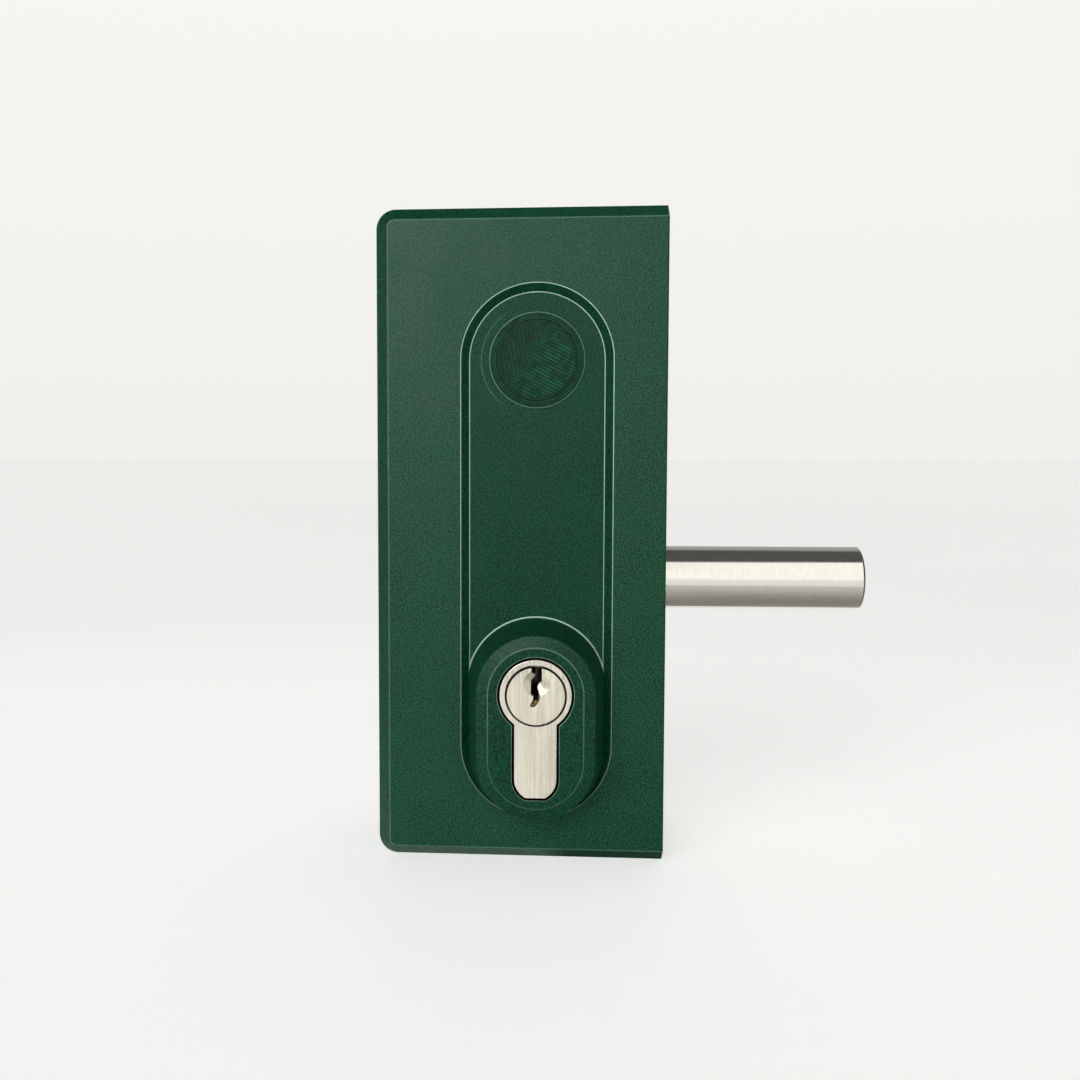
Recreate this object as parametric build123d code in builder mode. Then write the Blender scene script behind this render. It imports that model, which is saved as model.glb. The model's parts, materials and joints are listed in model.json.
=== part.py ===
"""Bolt-on gate deadlock: cast case, round stainless bolt and double profile cylinder.

The mounting face is the plane x = 0 and the bolt's axis is the X axis. The bolt is thrown
towards +X, the front of the lock faces -Y, and +Z is up. All sizes are in millimetres.
"""

import math
import os

from build123d import *

# Case
CASE_WIDTH = 70.0
CASE_TOP = 90.6
CASE_BOTTOM = -68.1
HALF_DEPTH = 20.0  # the front and rear covers meet on the plane y = 0
CORNER_R = 4.8
BEVEL_WIDTH = 3.1
BEVEL_DEPTH = 3.7
WALL = 3.0
FACE_WALL = 4.2
MOUNT_EDGE_R = 0.5

# Recess in each face
CENTRE_X = -31.0  # the recess, the spindle blank and the cylinder share this line
RECESS_TOP_Z = 54.1  # centre of the upper end
RECESS_LOW_Z = -39.1  # centre of the lower end
RECESS_R = 18.25
RECESS_FLOOR_R = 16.25
RECESS_DEPTH = 1.85
BLANK_R = 11.5
BLANK_HEIGHT = 0.5
ROOT = 1.2  # how far raised forms run down into the wall

# Cylinder boss on each face
CYL_Z = -24.9
BOSS_LOW_Z = -40.8
BOSS_FLOOR_R = 16.8
BOSS_EDGE_R = 14.1
BOSS_FLAT_R = 11.3
BOSS_EDGE_HEIGHT = 9.2  # above the face of the case
BOSS_HEIGHT = 9.9

# Profile cylinder, the usual 17 x 33 x 10 section, 30 + 30 long
CYL_HALF = 30.0
CYL_R = 8.5
LEG_HALF = 5.0
LEG_BOTTOM = 24.5  # below the plug's axis
LEG_FLAT = 4.6
CYL_GAP = 0.35
PLUG_R = 6.5
PLUG_FACE_R = 7.0
PLUG_PROUD = 0.3
CAM_HALF = 4.5
CAM_R = 15.2
CAM_RING_R = 8.0
CAM_SLOT_HALF = 6.2
CLUTCH_R = 4.4
PIN_R = 1.45
PIN_PITCH = 4.0
PIN_COUNT = 5
FIRST_PIN = 24.5  # from the middle of the cylinder
SCREW_BELOW = 20.0  # cylinder screw below the plug's axis

# Bolt
BOLT_R = 8.0
BOLT_OUT = 50.0
BOLT_IN = -44.0
THROW = 20.0
RUNNING_GAP = 0.05
GATE_X = -21.4
TAIL_FLAT = -6.0
TAIL_BOTTOM = -13.0
NOTCH_CENTRE = CENTRE_X + 10.2
NOTCH_WIDTH = 9.0
NOTCH_TOP = -9.2

# Mounting
PLATE_THICK = 5.1
PLATE_LIP = 2.6
PLATE_MIDDLE = 11.25
PLATE_LENGTH = 150.5
FIX_Z = 56.0  # above and below the bolt
FIX_R = 4.0  # M8
PILLARS = [(-60, 80), (-16, 80), (-60, -58), (-16, -60)]

FRONT = (0, -1, 0)
REAR = (0, 1, 0)
RIGHT = (1, 0, 0)
DOWN = (0, 0, -1)


def front_plane(distance):
    """Plane parallel to the front, that far in front of the case's middle."""
    return Plane.XZ.offset(distance)


def recess_slot(radius):
    """Long round-ended outline of the recess, in the current sketch."""
    with Locations((CENTRE_X, (RECESS_TOP_Z + RECESS_LOW_Z) / 2)):
        SlotCenterToCenter(RECESS_TOP_Z - RECESS_LOW_Z, 2 * radius, rotation=90)


def boss_slot(radius):
    """Round-ended outline of the cylinder boss, in the current sketch."""
    with Locations((CENTRE_X, (CYL_Z + BOSS_LOW_Z) / 2)):
        SlotCenterToCenter(CYL_Z - BOSS_LOW_Z, 2 * radius, rotation=90)


def cylinder_profile(grow=0.0):
    """Keyhole section of the cylinder, grown all round, in the current sketch."""
    arc_centre = LEG_BOTTOM - math.sqrt(LEG_HALF**2 - (LEG_FLAT / 2) ** 2)
    with Locations((CENTRE_X, CYL_Z)):
        Circle(CYL_R + grow)
        Rectangle(2 * (LEG_HALF + grow), arc_centre, align=(Align.CENTER, Align.MAX))
    with Locations((CENTRE_X, CYL_Z - arc_centre)):
        Circle(LEG_HALF + grow)
    with Locations((CENTRE_X, CYL_Z - LEG_BOTTOM - grow)):
        Rectangle(2 * CYL_R, LEG_HALF, align=(Align.CENTER, Align.MAX), mode=Mode.SUBTRACT)


def sunk_cone(seat, top_r, low_r, depth):
    """Cone below the seat plane, with 16 flat sides."""
    with BuildPart() as cone:
        with BuildSketch(seat):
            RegularPolygon(top_r, 16)
        extrude(amount=-depth)
        floor = cone.faces().sort_by(Axis(seat.origin, seat.z_dir))[0]
        chamfer(floor.edges(), top_r - low_r, depth - 0.02, reference=floor)
    return cone.part


def screw(seat, shank_r, length, head_r, head_height, socket, sunk=False):
    """Hexagon socket screw. The seat plane faces the head, and the shank runs the other way."""
    with BuildPart() as fastener:
        with BuildSketch(seat):
            RegularPolygon(shank_r, 8)
        extrude(amount=-length)
        if sunk:
            add(sunk_cone(seat, head_r, shank_r, head_r - shank_r))
        else:
            with BuildSketch(seat):
                RegularPolygon(head_r, 10)
            extrude(amount=head_height)
        with BuildSketch(seat.offset(0 if sunk else head_height)):
            RegularPolygon(socket / 2, 6, major_radius=False)
        extrude(amount=-0.6 * head_height, mode=Mode.SUBTRACT)
    return fastener.part


def pin_row(radius, sides=6):
    """One round per pin stack, as a polygon that is light to draw, in the current sketch."""
    with Locations(*[(CENTRE_X, y) for y in pin_places]):
        RegularPolygon(radius, sides)


def save(piece, name):
    """Label one piece and write its file."""
    piece.part.label = name
    export_step(piece.part, f"parts/{name}.step")


os.makedirs("parts", exist_ok=True)

# Half of the cast case, the same for the front and the rear
with BuildPart() as half_case:
    with BuildSketch(Plane.XZ) as outline:
        with Locations((-CASE_WIDTH / 2, (CASE_TOP + CASE_BOTTOM) / 2)):
            Rectangle(CASE_WIDTH, CASE_TOP - CASE_BOTTOM)
        fillet(outline.vertices().group_by(Axis.X)[0], CORNER_R)
    extrude(amount=HALF_DEPTH)
    face = half_case.faces().sort_by(Axis.Y)[0]
    mount_edge = face.edges().sort_by(Axis.X)[-1]
    bevelled = face.edges().sort_by(Axis.X)[:-1]
    chamfer(bevelled, BEVEL_WIDTH, BEVEL_DEPTH, reference=face)
    fillet(half_case.faces().sort_by(Axis.Y)[0].edges().sort_by(Axis.X)[-1], MOUNT_EDGE_R)

    # Recess with a sloping wall
    with BuildSketch(front_plane(HALF_DEPTH)):
        recess_slot(RECESS_R)
    recess_slope = math.degrees(math.atan2(RECESS_R - RECESS_FLOOR_R, RECESS_DEPTH))
    extrude(amount=-RECESS_DEPTH, taper=recess_slope, mode=Mode.SUBTRACT)

    # Tapered boss round the cylinder, with a shallow bevel round its flat top
    draft = (BOSS_FLOOR_R - BOSS_EDGE_R) / (BOSS_EDGE_HEIGHT + RECESS_DEPTH)
    with BuildSketch(front_plane(HALF_DEPTH - RECESS_DEPTH - ROOT)):
        boss_slot(BOSS_FLOOR_R + draft * ROOT)
    extrude(amount=BOSS_EDGE_HEIGHT + RECESS_DEPTH + ROOT, taper=math.degrees(math.atan(draft)))
    bevel_rise = BOSS_HEIGHT - BOSS_EDGE_HEIGHT
    with BuildSketch(front_plane(HALF_DEPTH + BOSS_EDGE_HEIGHT)):
        boss_slot(BOSS_EDGE_R)
    extrude(amount=bevel_rise, taper=math.degrees(math.atan2(BOSS_EDGE_R - BOSS_FLAT_R, bevel_rise)))

    # Blank where a handle's spindle would pass
    with BuildSketch(front_plane(HALF_DEPTH - RECESS_DEPTH - ROOT)):
        with Locations((CENTRE_X, RECESS_TOP_Z)):
            RegularPolygon(BLANK_R, 40)
    extrude(amount=ROOT + BLANK_HEIGHT)

    # Room for the works, open to the other half and to the mounting side
    with BuildSketch(Plane.XZ) as room:
        with Locations((-CASE_WIDTH + WALL, (CASE_TOP + CASE_BOTTOM) / 2)):
            Rectangle(
                CASE_WIDTH - WALL - PLATE_THICK - 0.1,
                CASE_TOP - CASE_BOTTOM - 2 * WALL,
                align=(Align.MIN, Align.CENTER),
            )
        fillet(room.vertices().group_by(Axis.X)[0], CORNER_R - WALL)
    extrude(amount=HALF_DEPTH - FACE_WALL, mode=Mode.SUBTRACT)

    # Stepped groove that traps the mounting plate
    with BuildSketch(Plane.XZ):
        with Locations((-PLATE_THICK - 0.1, PLATE_MIDDLE)):
            Rectangle(PLATE_THICK - PLATE_LIP + 0.2, PLATE_LENGTH + 0.2, align=(Align.MIN, Align.CENTER))
    extrude(amount=15.6, mode=Mode.SUBTRACT)
    with BuildSketch(Plane.XZ):
        with Locations((-PLATE_LIP, PLATE_MIDDLE)):
            Rectangle(PLATE_LIP + 1, PLATE_LENGTH - 1.8, align=(Align.MIN, Align.CENTER))
    extrude(amount=14.6, mode=Mode.SUBTRACT)

    # Opening for the cylinder
    with BuildSketch(front_plane(HALF_DEPTH + BOSS_HEIGHT + 1)):
        cylinder_profile(CYL_GAP)
    extrude(amount=-HALF_DEPTH, mode=Mode.SUBTRACT)

# Front cover, with blind pillars for the screws that come from the rear
with BuildPart() as front_cover:
    add(half_case.part)
    with BuildSketch(Plane.XZ):
        with Locations(*PILLARS):
            RegularPolygon(4.8, 12)
            RegularPolygon(2.55, 8, mode=Mode.SUBTRACT)
    extrude(amount=HALF_DEPTH - FACE_WALL + 0.5)
save(front_cover, "front_cover")

# Rear cover, with the pillars' through holes, the guide's pad and the spring's shelf
with BuildPart() as rear_cover:
    add(half_case.part)
    mirror(about=Plane.XZ, mode=Mode.REPLACE)
    with BuildSketch(Plane.XZ):
        with Locations(*PILLARS):
            RegularPolygon(4.8, 12)
    extrude(amount=-(HALF_DEPTH - FACE_WALL + 0.5))
    with BuildSketch(Plane.XZ):
        with Locations(*PILLARS):
            RegularPolygon(2.75, 8)
    extrude(amount=-HALF_DEPTH, mode=Mode.SUBTRACT)
    for x, z in PILLARS:
        seat = Plane(origin=(x, HALF_DEPTH, z), z_dir=REAR)
        add(sunk_cone(seat, 5.0, 2.5, 2.5), mode=Mode.SUBTRACT)
    with BuildSketch(front_plane(-13.8)):
        with Locations((-43, 0)):
            Rectangle(12, 44)
    extrude(amount=-2.5)
    with BuildSketch(front_plane(-12)):
        with Locations((-43, 16), (-43, -16)):
            RegularPolygon(2.05, 8)
    extrude(amount=-5.2, mode=Mode.SUBTRACT)
    with BuildSketch(Plane.XY.offset(8.7)):
        with Locations((-61.9, 5.4)):
            Rectangle(9.8, 22)
    extrude(amount=3.7)
    with BuildSketch(Plane.XY.offset(13)):
        with Locations((-61.5, -1.5), (-61.5, 5.5)):
            RegularPolygon(1.55, 8)
    extrude(amount=-3.8, mode=Mode.SUBTRACT)
save(rear_cover, "rear_cover")

# Stainless mounting plate, trapped by its stepped edge
with BuildPart() as edge_plate:
    with BuildSketch(Plane.YZ):
        with Locations((0, PLATE_MIDDLE)):
            Rectangle(29, PLATE_LENGTH - 2)
    extrude(amount=-PLATE_THICK)
    with BuildSketch(Plane.YZ.offset(-PLATE_LIP)):
        with Locations((0, PLATE_MIDDLE)):
            Rectangle(31, PLATE_LENGTH)
    extrude(amount=-(PLATE_THICK - PLATE_LIP))
    with BuildSketch(Plane.YZ):
        RegularPolygon(10, 36)
        with Locations((0, FIX_Z), (0, -FIX_Z)):
            RegularPolygon(6, 24)
    extrude(amount=-PLATE_THICK, mode=Mode.SUBTRACT)
    seat = Plane(origin=(0, 0, CYL_Z - SCREW_BELOW), z_dir=RIGHT)
    with BuildSketch(seat):
        RegularPolygon(2.75, 8)
    extrude(amount=-PLATE_THICK, mode=Mode.SUBTRACT)
    add(sunk_cone(seat, 4.8, 2.5, 2.3), mode=Mode.SUBTRACT)
save(edge_plate, "edge_plate")

# Threaded fixing inserts, with a shoulder behind the plate
with BuildPart() as fixing_inserts:
    for z in (FIX_Z, -FIX_Z):
        with BuildSketch(Plane(origin=(0, 0, z), x_dir=(0, 1, 0), z_dir=RIGHT)):
            RegularPolygon(5.98, 24)
        extrude(amount=-PLATE_THICK - 0.02)
        with BuildSketch(Plane(origin=(-PLATE_THICK - 0.02, 0, z), x_dir=(0, 1, 0), z_dir=RIGHT)):
            RegularPolygon(6.5, 6, major_radius=False)
        extrude(amount=-(10 - PLATE_THICK))
        with BuildSketch(Plane(origin=(0, 0, z), x_dir=(0, 1, 0), z_dir=RIGHT)):
            Circle(FIX_R)
        extrude(amount=-12, mode=Mode.SUBTRACT)
save(fixing_inserts, "fixing_inserts")

# Flanged bush that carries the bolt in the mounting plate
with BuildPart() as bolt_bush:
    with BuildSketch(Plane.YZ):
        RegularPolygon(9.98, 36)
    extrude(amount=-8)
    with BuildSketch(Plane.YZ.offset(-PLATE_THICK - 0.02)):
        RegularPolygon(12, 18)
    extrude(amount=-(8 - PLATE_THICK - 0.02))
    with BuildSketch(Plane.YZ):
        Circle(BOLT_R + RUNNING_GAP)
    extrude(amount=-8, mode=Mode.SUBTRACT)
save(bolt_bush, "bolt_bush")

# Round bolt: a flat underneath for the tail and two locking gates across the top
with BuildPart() as bolt:
    with BuildSketch(Plane.YZ.offset(BOLT_IN)):
        Circle(BOLT_R)
    extrude(amount=BOLT_OUT - BOLT_IN)
    chamfer(bolt.faces().sort_by(Axis.X)[-1].edges(), 0.5)
    with BuildSketch(Plane.XZ):
        with Locations((-20.8, TAIL_FLAT)):
            Rectangle(23.6, 4, align=(Align.CENTER, Align.MAX))
        with Locations((GATE_X, 6.5), (GATE_X + THROW, 6.5)):
            Rectangle(1.8, 3, align=(Align.CENTER, Align.MIN))
    extrude(amount=BOLT_R + 1, both=True, mode=Mode.SUBTRACT)
    with BuildSketch(Plane.XY.offset(-BOLT_R)):
        with Locations((-28.8, 1.85), (-12.8, 1.85)):
            RegularPolygon(1.55, 8)
    extrude(amount=8, mode=Mode.SUBTRACT)
save(bolt, "bolt")

# Tail block under the bolt: the cam works in its notch
with BuildPart() as bolt_tail:
    with BuildSketch(Plane.XZ.offset(1.5)) as tail_side:
        with Locations((-20.8, (TAIL_FLAT + TAIL_BOTTOM) / 2)):
            Rectangle(23.2, TAIL_FLAT - TAIL_BOTTOM)
        with Locations((NOTCH_CENTRE, TAIL_BOTTOM)):
            Rectangle(
                NOTCH_WIDTH,
                NOTCH_TOP - TAIL_BOTTOM,
                align=(Align.CENTER, Align.MIN),
                mode=Mode.SUBTRACT,
            )
    extrude(amount=-6.7)
    with BuildSketch(Plane.XY.offset(TAIL_BOTTOM)):
        with Locations((-28.8, 1.85), (-12.8, 1.85)):
            RegularPolygon(1.6, 8)
    extrude(amount=7, mode=Mode.SUBTRACT)
    with BuildSketch(Plane.XY.offset(TAIL_BOTTOM)):
        with Locations((-28.8, 1.85), (-12.8, 1.85)):
            RegularPolygon(2.9, 10)
    extrude(amount=3.2, mode=Mode.SUBTRACT)
save(bolt_tail, "bolt_tail")

with BuildPart() as tail_screws:
    for x in (-28.8, -12.8):
        add(screw(Plane(origin=(x, 1.85, TAIL_BOTTOM + 3.2), z_dir=DOWN), 1.48, 9.4, 2.75, 3, 2.5))
save(tail_screws, "tail_screws")

# Guide block: a bore round the bolt, open below so that the tail can pass
with BuildPart() as bolt_guide:
    with BuildSketch(Plane.YZ.offset(-48)):
        with Locations((1.4, -0.3)):
            Rectangle(24.8, 23.4)
        Circle(BOLT_R + RUNNING_GAP, mode=Mode.SUBTRACT)
        with Locations((0.0, 0.0)):
            Rectangle(11.2, 13, align=(Align.CENTER, Align.MAX), mode=Mode.SUBTRACT)
    extrude(amount=10)
    with BuildSketch(front_plane(-9.8)):
        with Locations((-43, 0)):
            Rectangle(10, 42)
    extrude(amount=-4)
    with BuildSketch(front_plane(-9)):
        with Locations((-43, 16), (-43, -16)):
            RegularPolygon(2.1, 8)
    extrude(amount=-6, mode=Mode.SUBTRACT)
save(bolt_guide, "bolt_guide")

with BuildPart() as guide_screws:
    for z in (16, -16):
        add(screw(Plane(origin=(-43, 9.8, z), z_dir=FRONT), 1.98, 7.2, 3.5, 3.2, 3))
save(guide_screws, "guide_screws")

# Locking spring: its tooth drops in the bolt's gate, and its foot is lifted by the cam
with BuildPart() as locking_spring:
    with BuildSketch(Plane.XY.offset(12.42)):
        with Locations((-43.2, 0)):
            Rectangle(44.6, 10)
        with Locations((-61.5, 2)):
            Rectangle(8, 14)
        with Locations((-31, -8.9)):
            Rectangle(10, 7.8)
        with Locations((-61.5, -1.5), (-61.5, 5.5)):
            RegularPolygon(1.6, 8, mode=Mode.SUBTRACT)
    extrude(amount=1)
    with BuildSketch(Plane.YZ.offset(GATE_X - 0.5)):
        with Locations((0, 6.8)):
            Rectangle(8, 6.5, align=(Align.CENTER, Align.MIN))
    extrude(amount=1)
    with BuildSketch(front_plane(12.8)):
        with Locations((-31, 0.8)):
            Rectangle(10, 25.24)
    extrude(amount=-1)
    with BuildSketch(Plane.XY.offset(-11.9)):
        with Locations((-31, -7.4)):
            Rectangle(10, 10.8)
    extrude(amount=1)
save(locking_spring, "locking_spring")

with BuildPart() as spring_screws:
    for y in (-1.5, 5.5):
        add(screw(Plane(origin=(-61.5, y, 13.44), z_dir=(0, 0, 1)), 1.48, 4, 2.6, 2, 2))
save(spring_screws, "spring_screws")

pin_places = [-FIRST_PIN + PIN_PITCH * i for i in range(PIN_COUNT)]
pin_places += [-y for y in pin_places]

# Cylinder body, cut away in the middle for the cam
with BuildPart() as cylinder_body:
    with BuildSketch(Plane.XZ):
        cylinder_profile()
    extrude(amount=CYL_HALF, both=True)
    with BuildSketch(Plane.XZ):
        with Locations((CENTRE_X, CYL_Z)):
            Circle(PLUG_R + RUNNING_GAP)
    extrude(amount=CYL_HALF, both=True, mode=Mode.SUBTRACT)
    for y in (-CYL_HALF, CYL_HALF):
        with BuildSketch(front_plane(-y)):
            with Locations((CENTRE_X, CYL_Z)):
                RegularPolygon(PLUG_FACE_R + 0.15, 36)
        extrude(amount=math.copysign(2, y), mode=Mode.SUBTRACT)
    with BuildSketch(Plane.XZ):
        with Locations((CENTRE_X, CYL_Z - CAM_R - 0.6)):
            Rectangle(2 * CYL_R + 2, 26, align=(Align.CENTER, Align.MIN))
    extrude(amount=CAM_SLOT_HALF, both=True, mode=Mode.SUBTRACT)
    with BuildSketch(Plane.XY.offset(CYL_Z - LEG_BOTTOM - 1)):
        pin_row(PIN_R + RUNNING_GAP)
    extrude(amount=LEG_BOTTOM - 3, mode=Mode.SUBTRACT)
    with BuildSketch(Plane.YZ.offset(CENTRE_X)):
        with Locations((0, CYL_Z - SCREW_BELOW)):
            RegularPolygon(2.55, 8)
    extrude(amount=LEG_HALF + 1, both=True, mode=Mode.SUBTRACT)
save(cylinder_body, "cylinder_body")

# Keyway outline from the plug's axis, down one side and up the other
KEYWAY = [
    (-0.95, 7.4), (-0.95, 5.6), (-0.1, 5.1), (-0.1, 4.6), (-1.1, 3.6), (-1.1, 0.2),
    (-0.45, -0.1), (-0.7, -1.2), (-1.2, -2.0), (-1.2, -2.65), (-0.25, -2.65), (0.3, -2.0),
    (0.85, -1.1), (1.05, -0.1), (0.45, 1.9), (0.75, 2.8), (1.45, 3.4), (1.45, 7.4),
]
PLUG_END = CAM_HALF + 0.1

with BuildPart() as front_plug:
    with BuildSketch(front_plane(PLUG_END)):
        with Locations((CENTRE_X, CYL_Z)):
            Circle(PLUG_R)
    extrude(amount=CYL_HALF - PLUG_END - 1)
    with BuildSketch(front_plane(CYL_HALF - 1.9)):
        with Locations((CENTRE_X, CYL_Z)):
            RegularPolygon(PLUG_FACE_R, 36)
    extrude(amount=1.9 + PLUG_PROUD)
    with BuildSketch(front_plane(5.3)):
        with Locations((CENTRE_X, CYL_Z)):
            Circle(PLUG_R + 1)
            RegularPolygon(5.7, 12, mode=Mode.SUBTRACT)
    extrude(amount=0.8, mode=Mode.SUBTRACT)
    with BuildSketch(front_plane(PLUG_END)):
        with Locations((CENTRE_X, CYL_Z)):
            Circle(PLUG_R + 1)
            RegularPolygon(PLUG_R, 16, mode=Mode.SUBTRACT)
    extrude(amount=0.7, mode=Mode.SUBTRACT)
    with BuildSketch(front_plane(PLUG_END)):
        with Locations((CENTRE_X, CYL_Z)):
            RegularPolygon(CLUTCH_R + RUNNING_GAP, 12, major_radius=False)
    extrude(amount=2.2, mode=Mode.SUBTRACT)
    dish = Plane(origin=(CENTRE_X + 0.2, -CYL_HALF - PLUG_PROUD, CYL_Z + 3), z_dir=FRONT)
    add(sunk_cone(dish, 3.1, 1.0, 1.1), mode=Mode.SUBTRACT)
    with BuildSketch(Plane.XY.offset(CYL_Z - PLUG_R - 1)):
        pin_row(PIN_R + RUNNING_GAP)
    extrude(amount=PLUG_R, mode=Mode.SUBTRACT)
    with BuildSketch(front_plane(PLUG_END - 1)):
        with BuildLine(Plane.XZ.offset(PLUG_END - 1)):
            Polyline(*[(CENTRE_X + x, CYL_Z + z) for x, z in KEYWAY], close=True)
        make_face()
    extrude(amount=CYL_HALF, mode=Mode.SUBTRACT)
save(front_plug, "front_plug")

with BuildPart() as rear_plug:
    add(front_plug.part)
    mirror(about=Plane.XZ, mode=Mode.REPLACE)
save(rear_plug, "rear_plug")

# Open clips that hold the plugs in the body
with BuildPart() as plug_clips:
    for y in (-6.05, 5.35):
        with BuildSketch(front_plane(-y)):
            with Locations((CENTRE_X, CYL_Z)):
                RegularPolygon(7.6, 12)
                RegularPolygon(5.78, 12, mode=Mode.SUBTRACT)
                Rectangle(7, 9, align=(Align.CENTER, Align.MIN), mode=Mode.SUBTRACT)
        extrude(amount=-0.7)
save(plug_clips, "plug_clips")

# Cam: a ring on the clutch with one nose, pointing down with the key out
with BuildPart() as cam:
    with BuildSketch(front_plane(CAM_HALF)):
        with BuildLine(front_plane(CAM_HALF)):
            Polyline(
                (CENTRE_X - 4.4, CYL_Z - 4),
                (CENTRE_X - 3.0, CYL_Z - CAM_R - 1),
                (CENTRE_X + 3.0, CYL_Z - CAM_R - 1),
                (CENTRE_X + 4.4, CYL_Z - 4),
                close=True,
            )
        make_face()
        with Locations((CENTRE_X, CYL_Z)):
            Circle(CAM_R, mode=Mode.INTERSECT)
            Circle(CAM_RING_R)
            RegularPolygon(CLUTCH_R + RUNNING_GAP, 12, major_radius=False, mode=Mode.SUBTRACT)
    extrude(amount=-2 * CAM_HALF)
save(cam, "cam")

# Clutch pin through the cam, between the plugs
with BuildPart() as clutch:
    with BuildSketch(Plane.XZ):
        with Locations((CENTRE_X, CYL_Z)):
            RegularPolygon(CLUTCH_R, 12)
    extrude(amount=6.5, both=True)
save(clutch, "clutch")

with BuildPart() as key_pins:
    with BuildSketch(Plane.XY.offset(CYL_Z - 6.25)):
        pin_row(PIN_R)
    extrude(amount=4.3)
    with BuildSketch(Plane.XY.offset(CYL_Z - 1.95)):
        pin_row(PIN_R)
    extrude(amount=0.6, taper=45)
save(key_pins, "key_pins")

with BuildPart() as driver_pins:
    with BuildSketch(Plane.XY.offset(CYL_Z - 6.65)):
        pin_row(PIN_R)
    extrude(amount=-6)
save(driver_pins, "driver_pins")

with BuildPart() as pin_springs:
    with BuildSketch(Plane.XY.offset(CYL_Z - 12.7)):
        with Locations(*[(CENTRE_X, y) for y in pin_places]):
            RegularPolygon(1.3, 6)
            RegularPolygon(0.95, 6, mode=Mode.SUBTRACT)
    extrude(amount=-9.6)
save(pin_springs, "pin_springs")

with BuildPart() as chamber_plugs:
    with BuildSketch(Plane.XY.offset(CYL_Z - 22.35)):
        pin_row(PIN_R + 0.03)
    extrude(amount=-2)
save(chamber_plugs, "chamber_plugs")

with BuildPart() as cylinder_screw:
    seat = Plane(origin=(-0.2, 0, CYL_Z - SCREW_BELOW), z_dir=RIGHT)
    add(screw(seat, 2.48, 35.8, 4.55, 4, 3, sunk=True))
save(cylinder_screw, "cylinder_screw")

with BuildPart() as cover_screws:
    for x, z in PILLARS:
        seat = Plane(origin=(x, HALF_DEPTH - 0.2, z), z_dir=REAR)
        add(screw(seat, 2.48, 30, 4.75, 4, 3, sunk=True))
save(cover_screws, "cover_screws")
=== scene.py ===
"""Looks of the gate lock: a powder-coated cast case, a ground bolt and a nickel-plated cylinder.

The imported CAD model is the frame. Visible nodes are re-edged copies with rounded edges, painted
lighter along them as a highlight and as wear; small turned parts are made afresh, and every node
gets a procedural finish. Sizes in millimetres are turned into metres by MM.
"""
import json
import logging
import math
from collections.abc import Callable
from dataclasses import dataclass
from enum import Enum

import bmesh
import bpy
from mathutils import Matrix, Vector


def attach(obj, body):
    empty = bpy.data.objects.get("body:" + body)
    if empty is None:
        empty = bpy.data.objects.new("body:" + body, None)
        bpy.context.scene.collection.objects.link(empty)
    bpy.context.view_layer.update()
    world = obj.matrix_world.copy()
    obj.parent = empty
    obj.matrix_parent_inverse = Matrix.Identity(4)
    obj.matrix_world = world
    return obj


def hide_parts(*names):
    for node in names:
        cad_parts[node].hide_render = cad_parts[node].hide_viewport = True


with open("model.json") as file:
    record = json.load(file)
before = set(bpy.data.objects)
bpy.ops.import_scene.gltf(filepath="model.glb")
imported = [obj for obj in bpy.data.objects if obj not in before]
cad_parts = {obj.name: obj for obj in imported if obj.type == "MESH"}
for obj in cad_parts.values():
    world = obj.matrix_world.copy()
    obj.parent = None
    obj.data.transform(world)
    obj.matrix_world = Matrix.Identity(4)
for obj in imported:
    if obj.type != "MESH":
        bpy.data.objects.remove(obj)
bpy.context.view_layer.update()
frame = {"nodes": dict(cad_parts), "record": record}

MM = 0.001
COATED = "coated"
log = logging.getLogger("gate_lock")

Socket = bpy.types.NodeSocket
Triple = tuple[float, float, float]
Colour = Triple
Ring = list[bmesh.types.BMVert]


class Lines(Enum):
    """How brush lines run, as the stretch of the noise on each axis."""

    UPRIGHT = (1.0, 1.0, 0.02)
    LEVEL = (0.02, 1.0, 1.0)
    ROUND_BAR = (1.0, 0.2, 0.2)


class Side(Enum):
    """Face of the lock, by the sign of its y."""

    FRONT = -1
    REAR = 1


def from_screen(red: int, green: int, blue: int) -> Colour:
    """Linear colour for a colour as a screen shows it.

    Args:
        red, green, blue: screen values from 0 to 255.

    Returns:
        The linear red, green and blue.
    """
    def linear(value: float) -> float:
        """One channel."""
        return value / 12.92 if value <= 0.04045 else ((value + 0.055) / 1.055) ** 2.4

    return linear(red / 255), linear(green / 255), linear(blue / 255)


def toned(colour: Colour, factor: float, lift: float = 0.0) -> Colour:
    """Colour made lighter or darker, no channel over 1."""
    return tuple(min(1.0, channel * factor + lift) for channel in colour)


# ---- Shader writing


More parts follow.
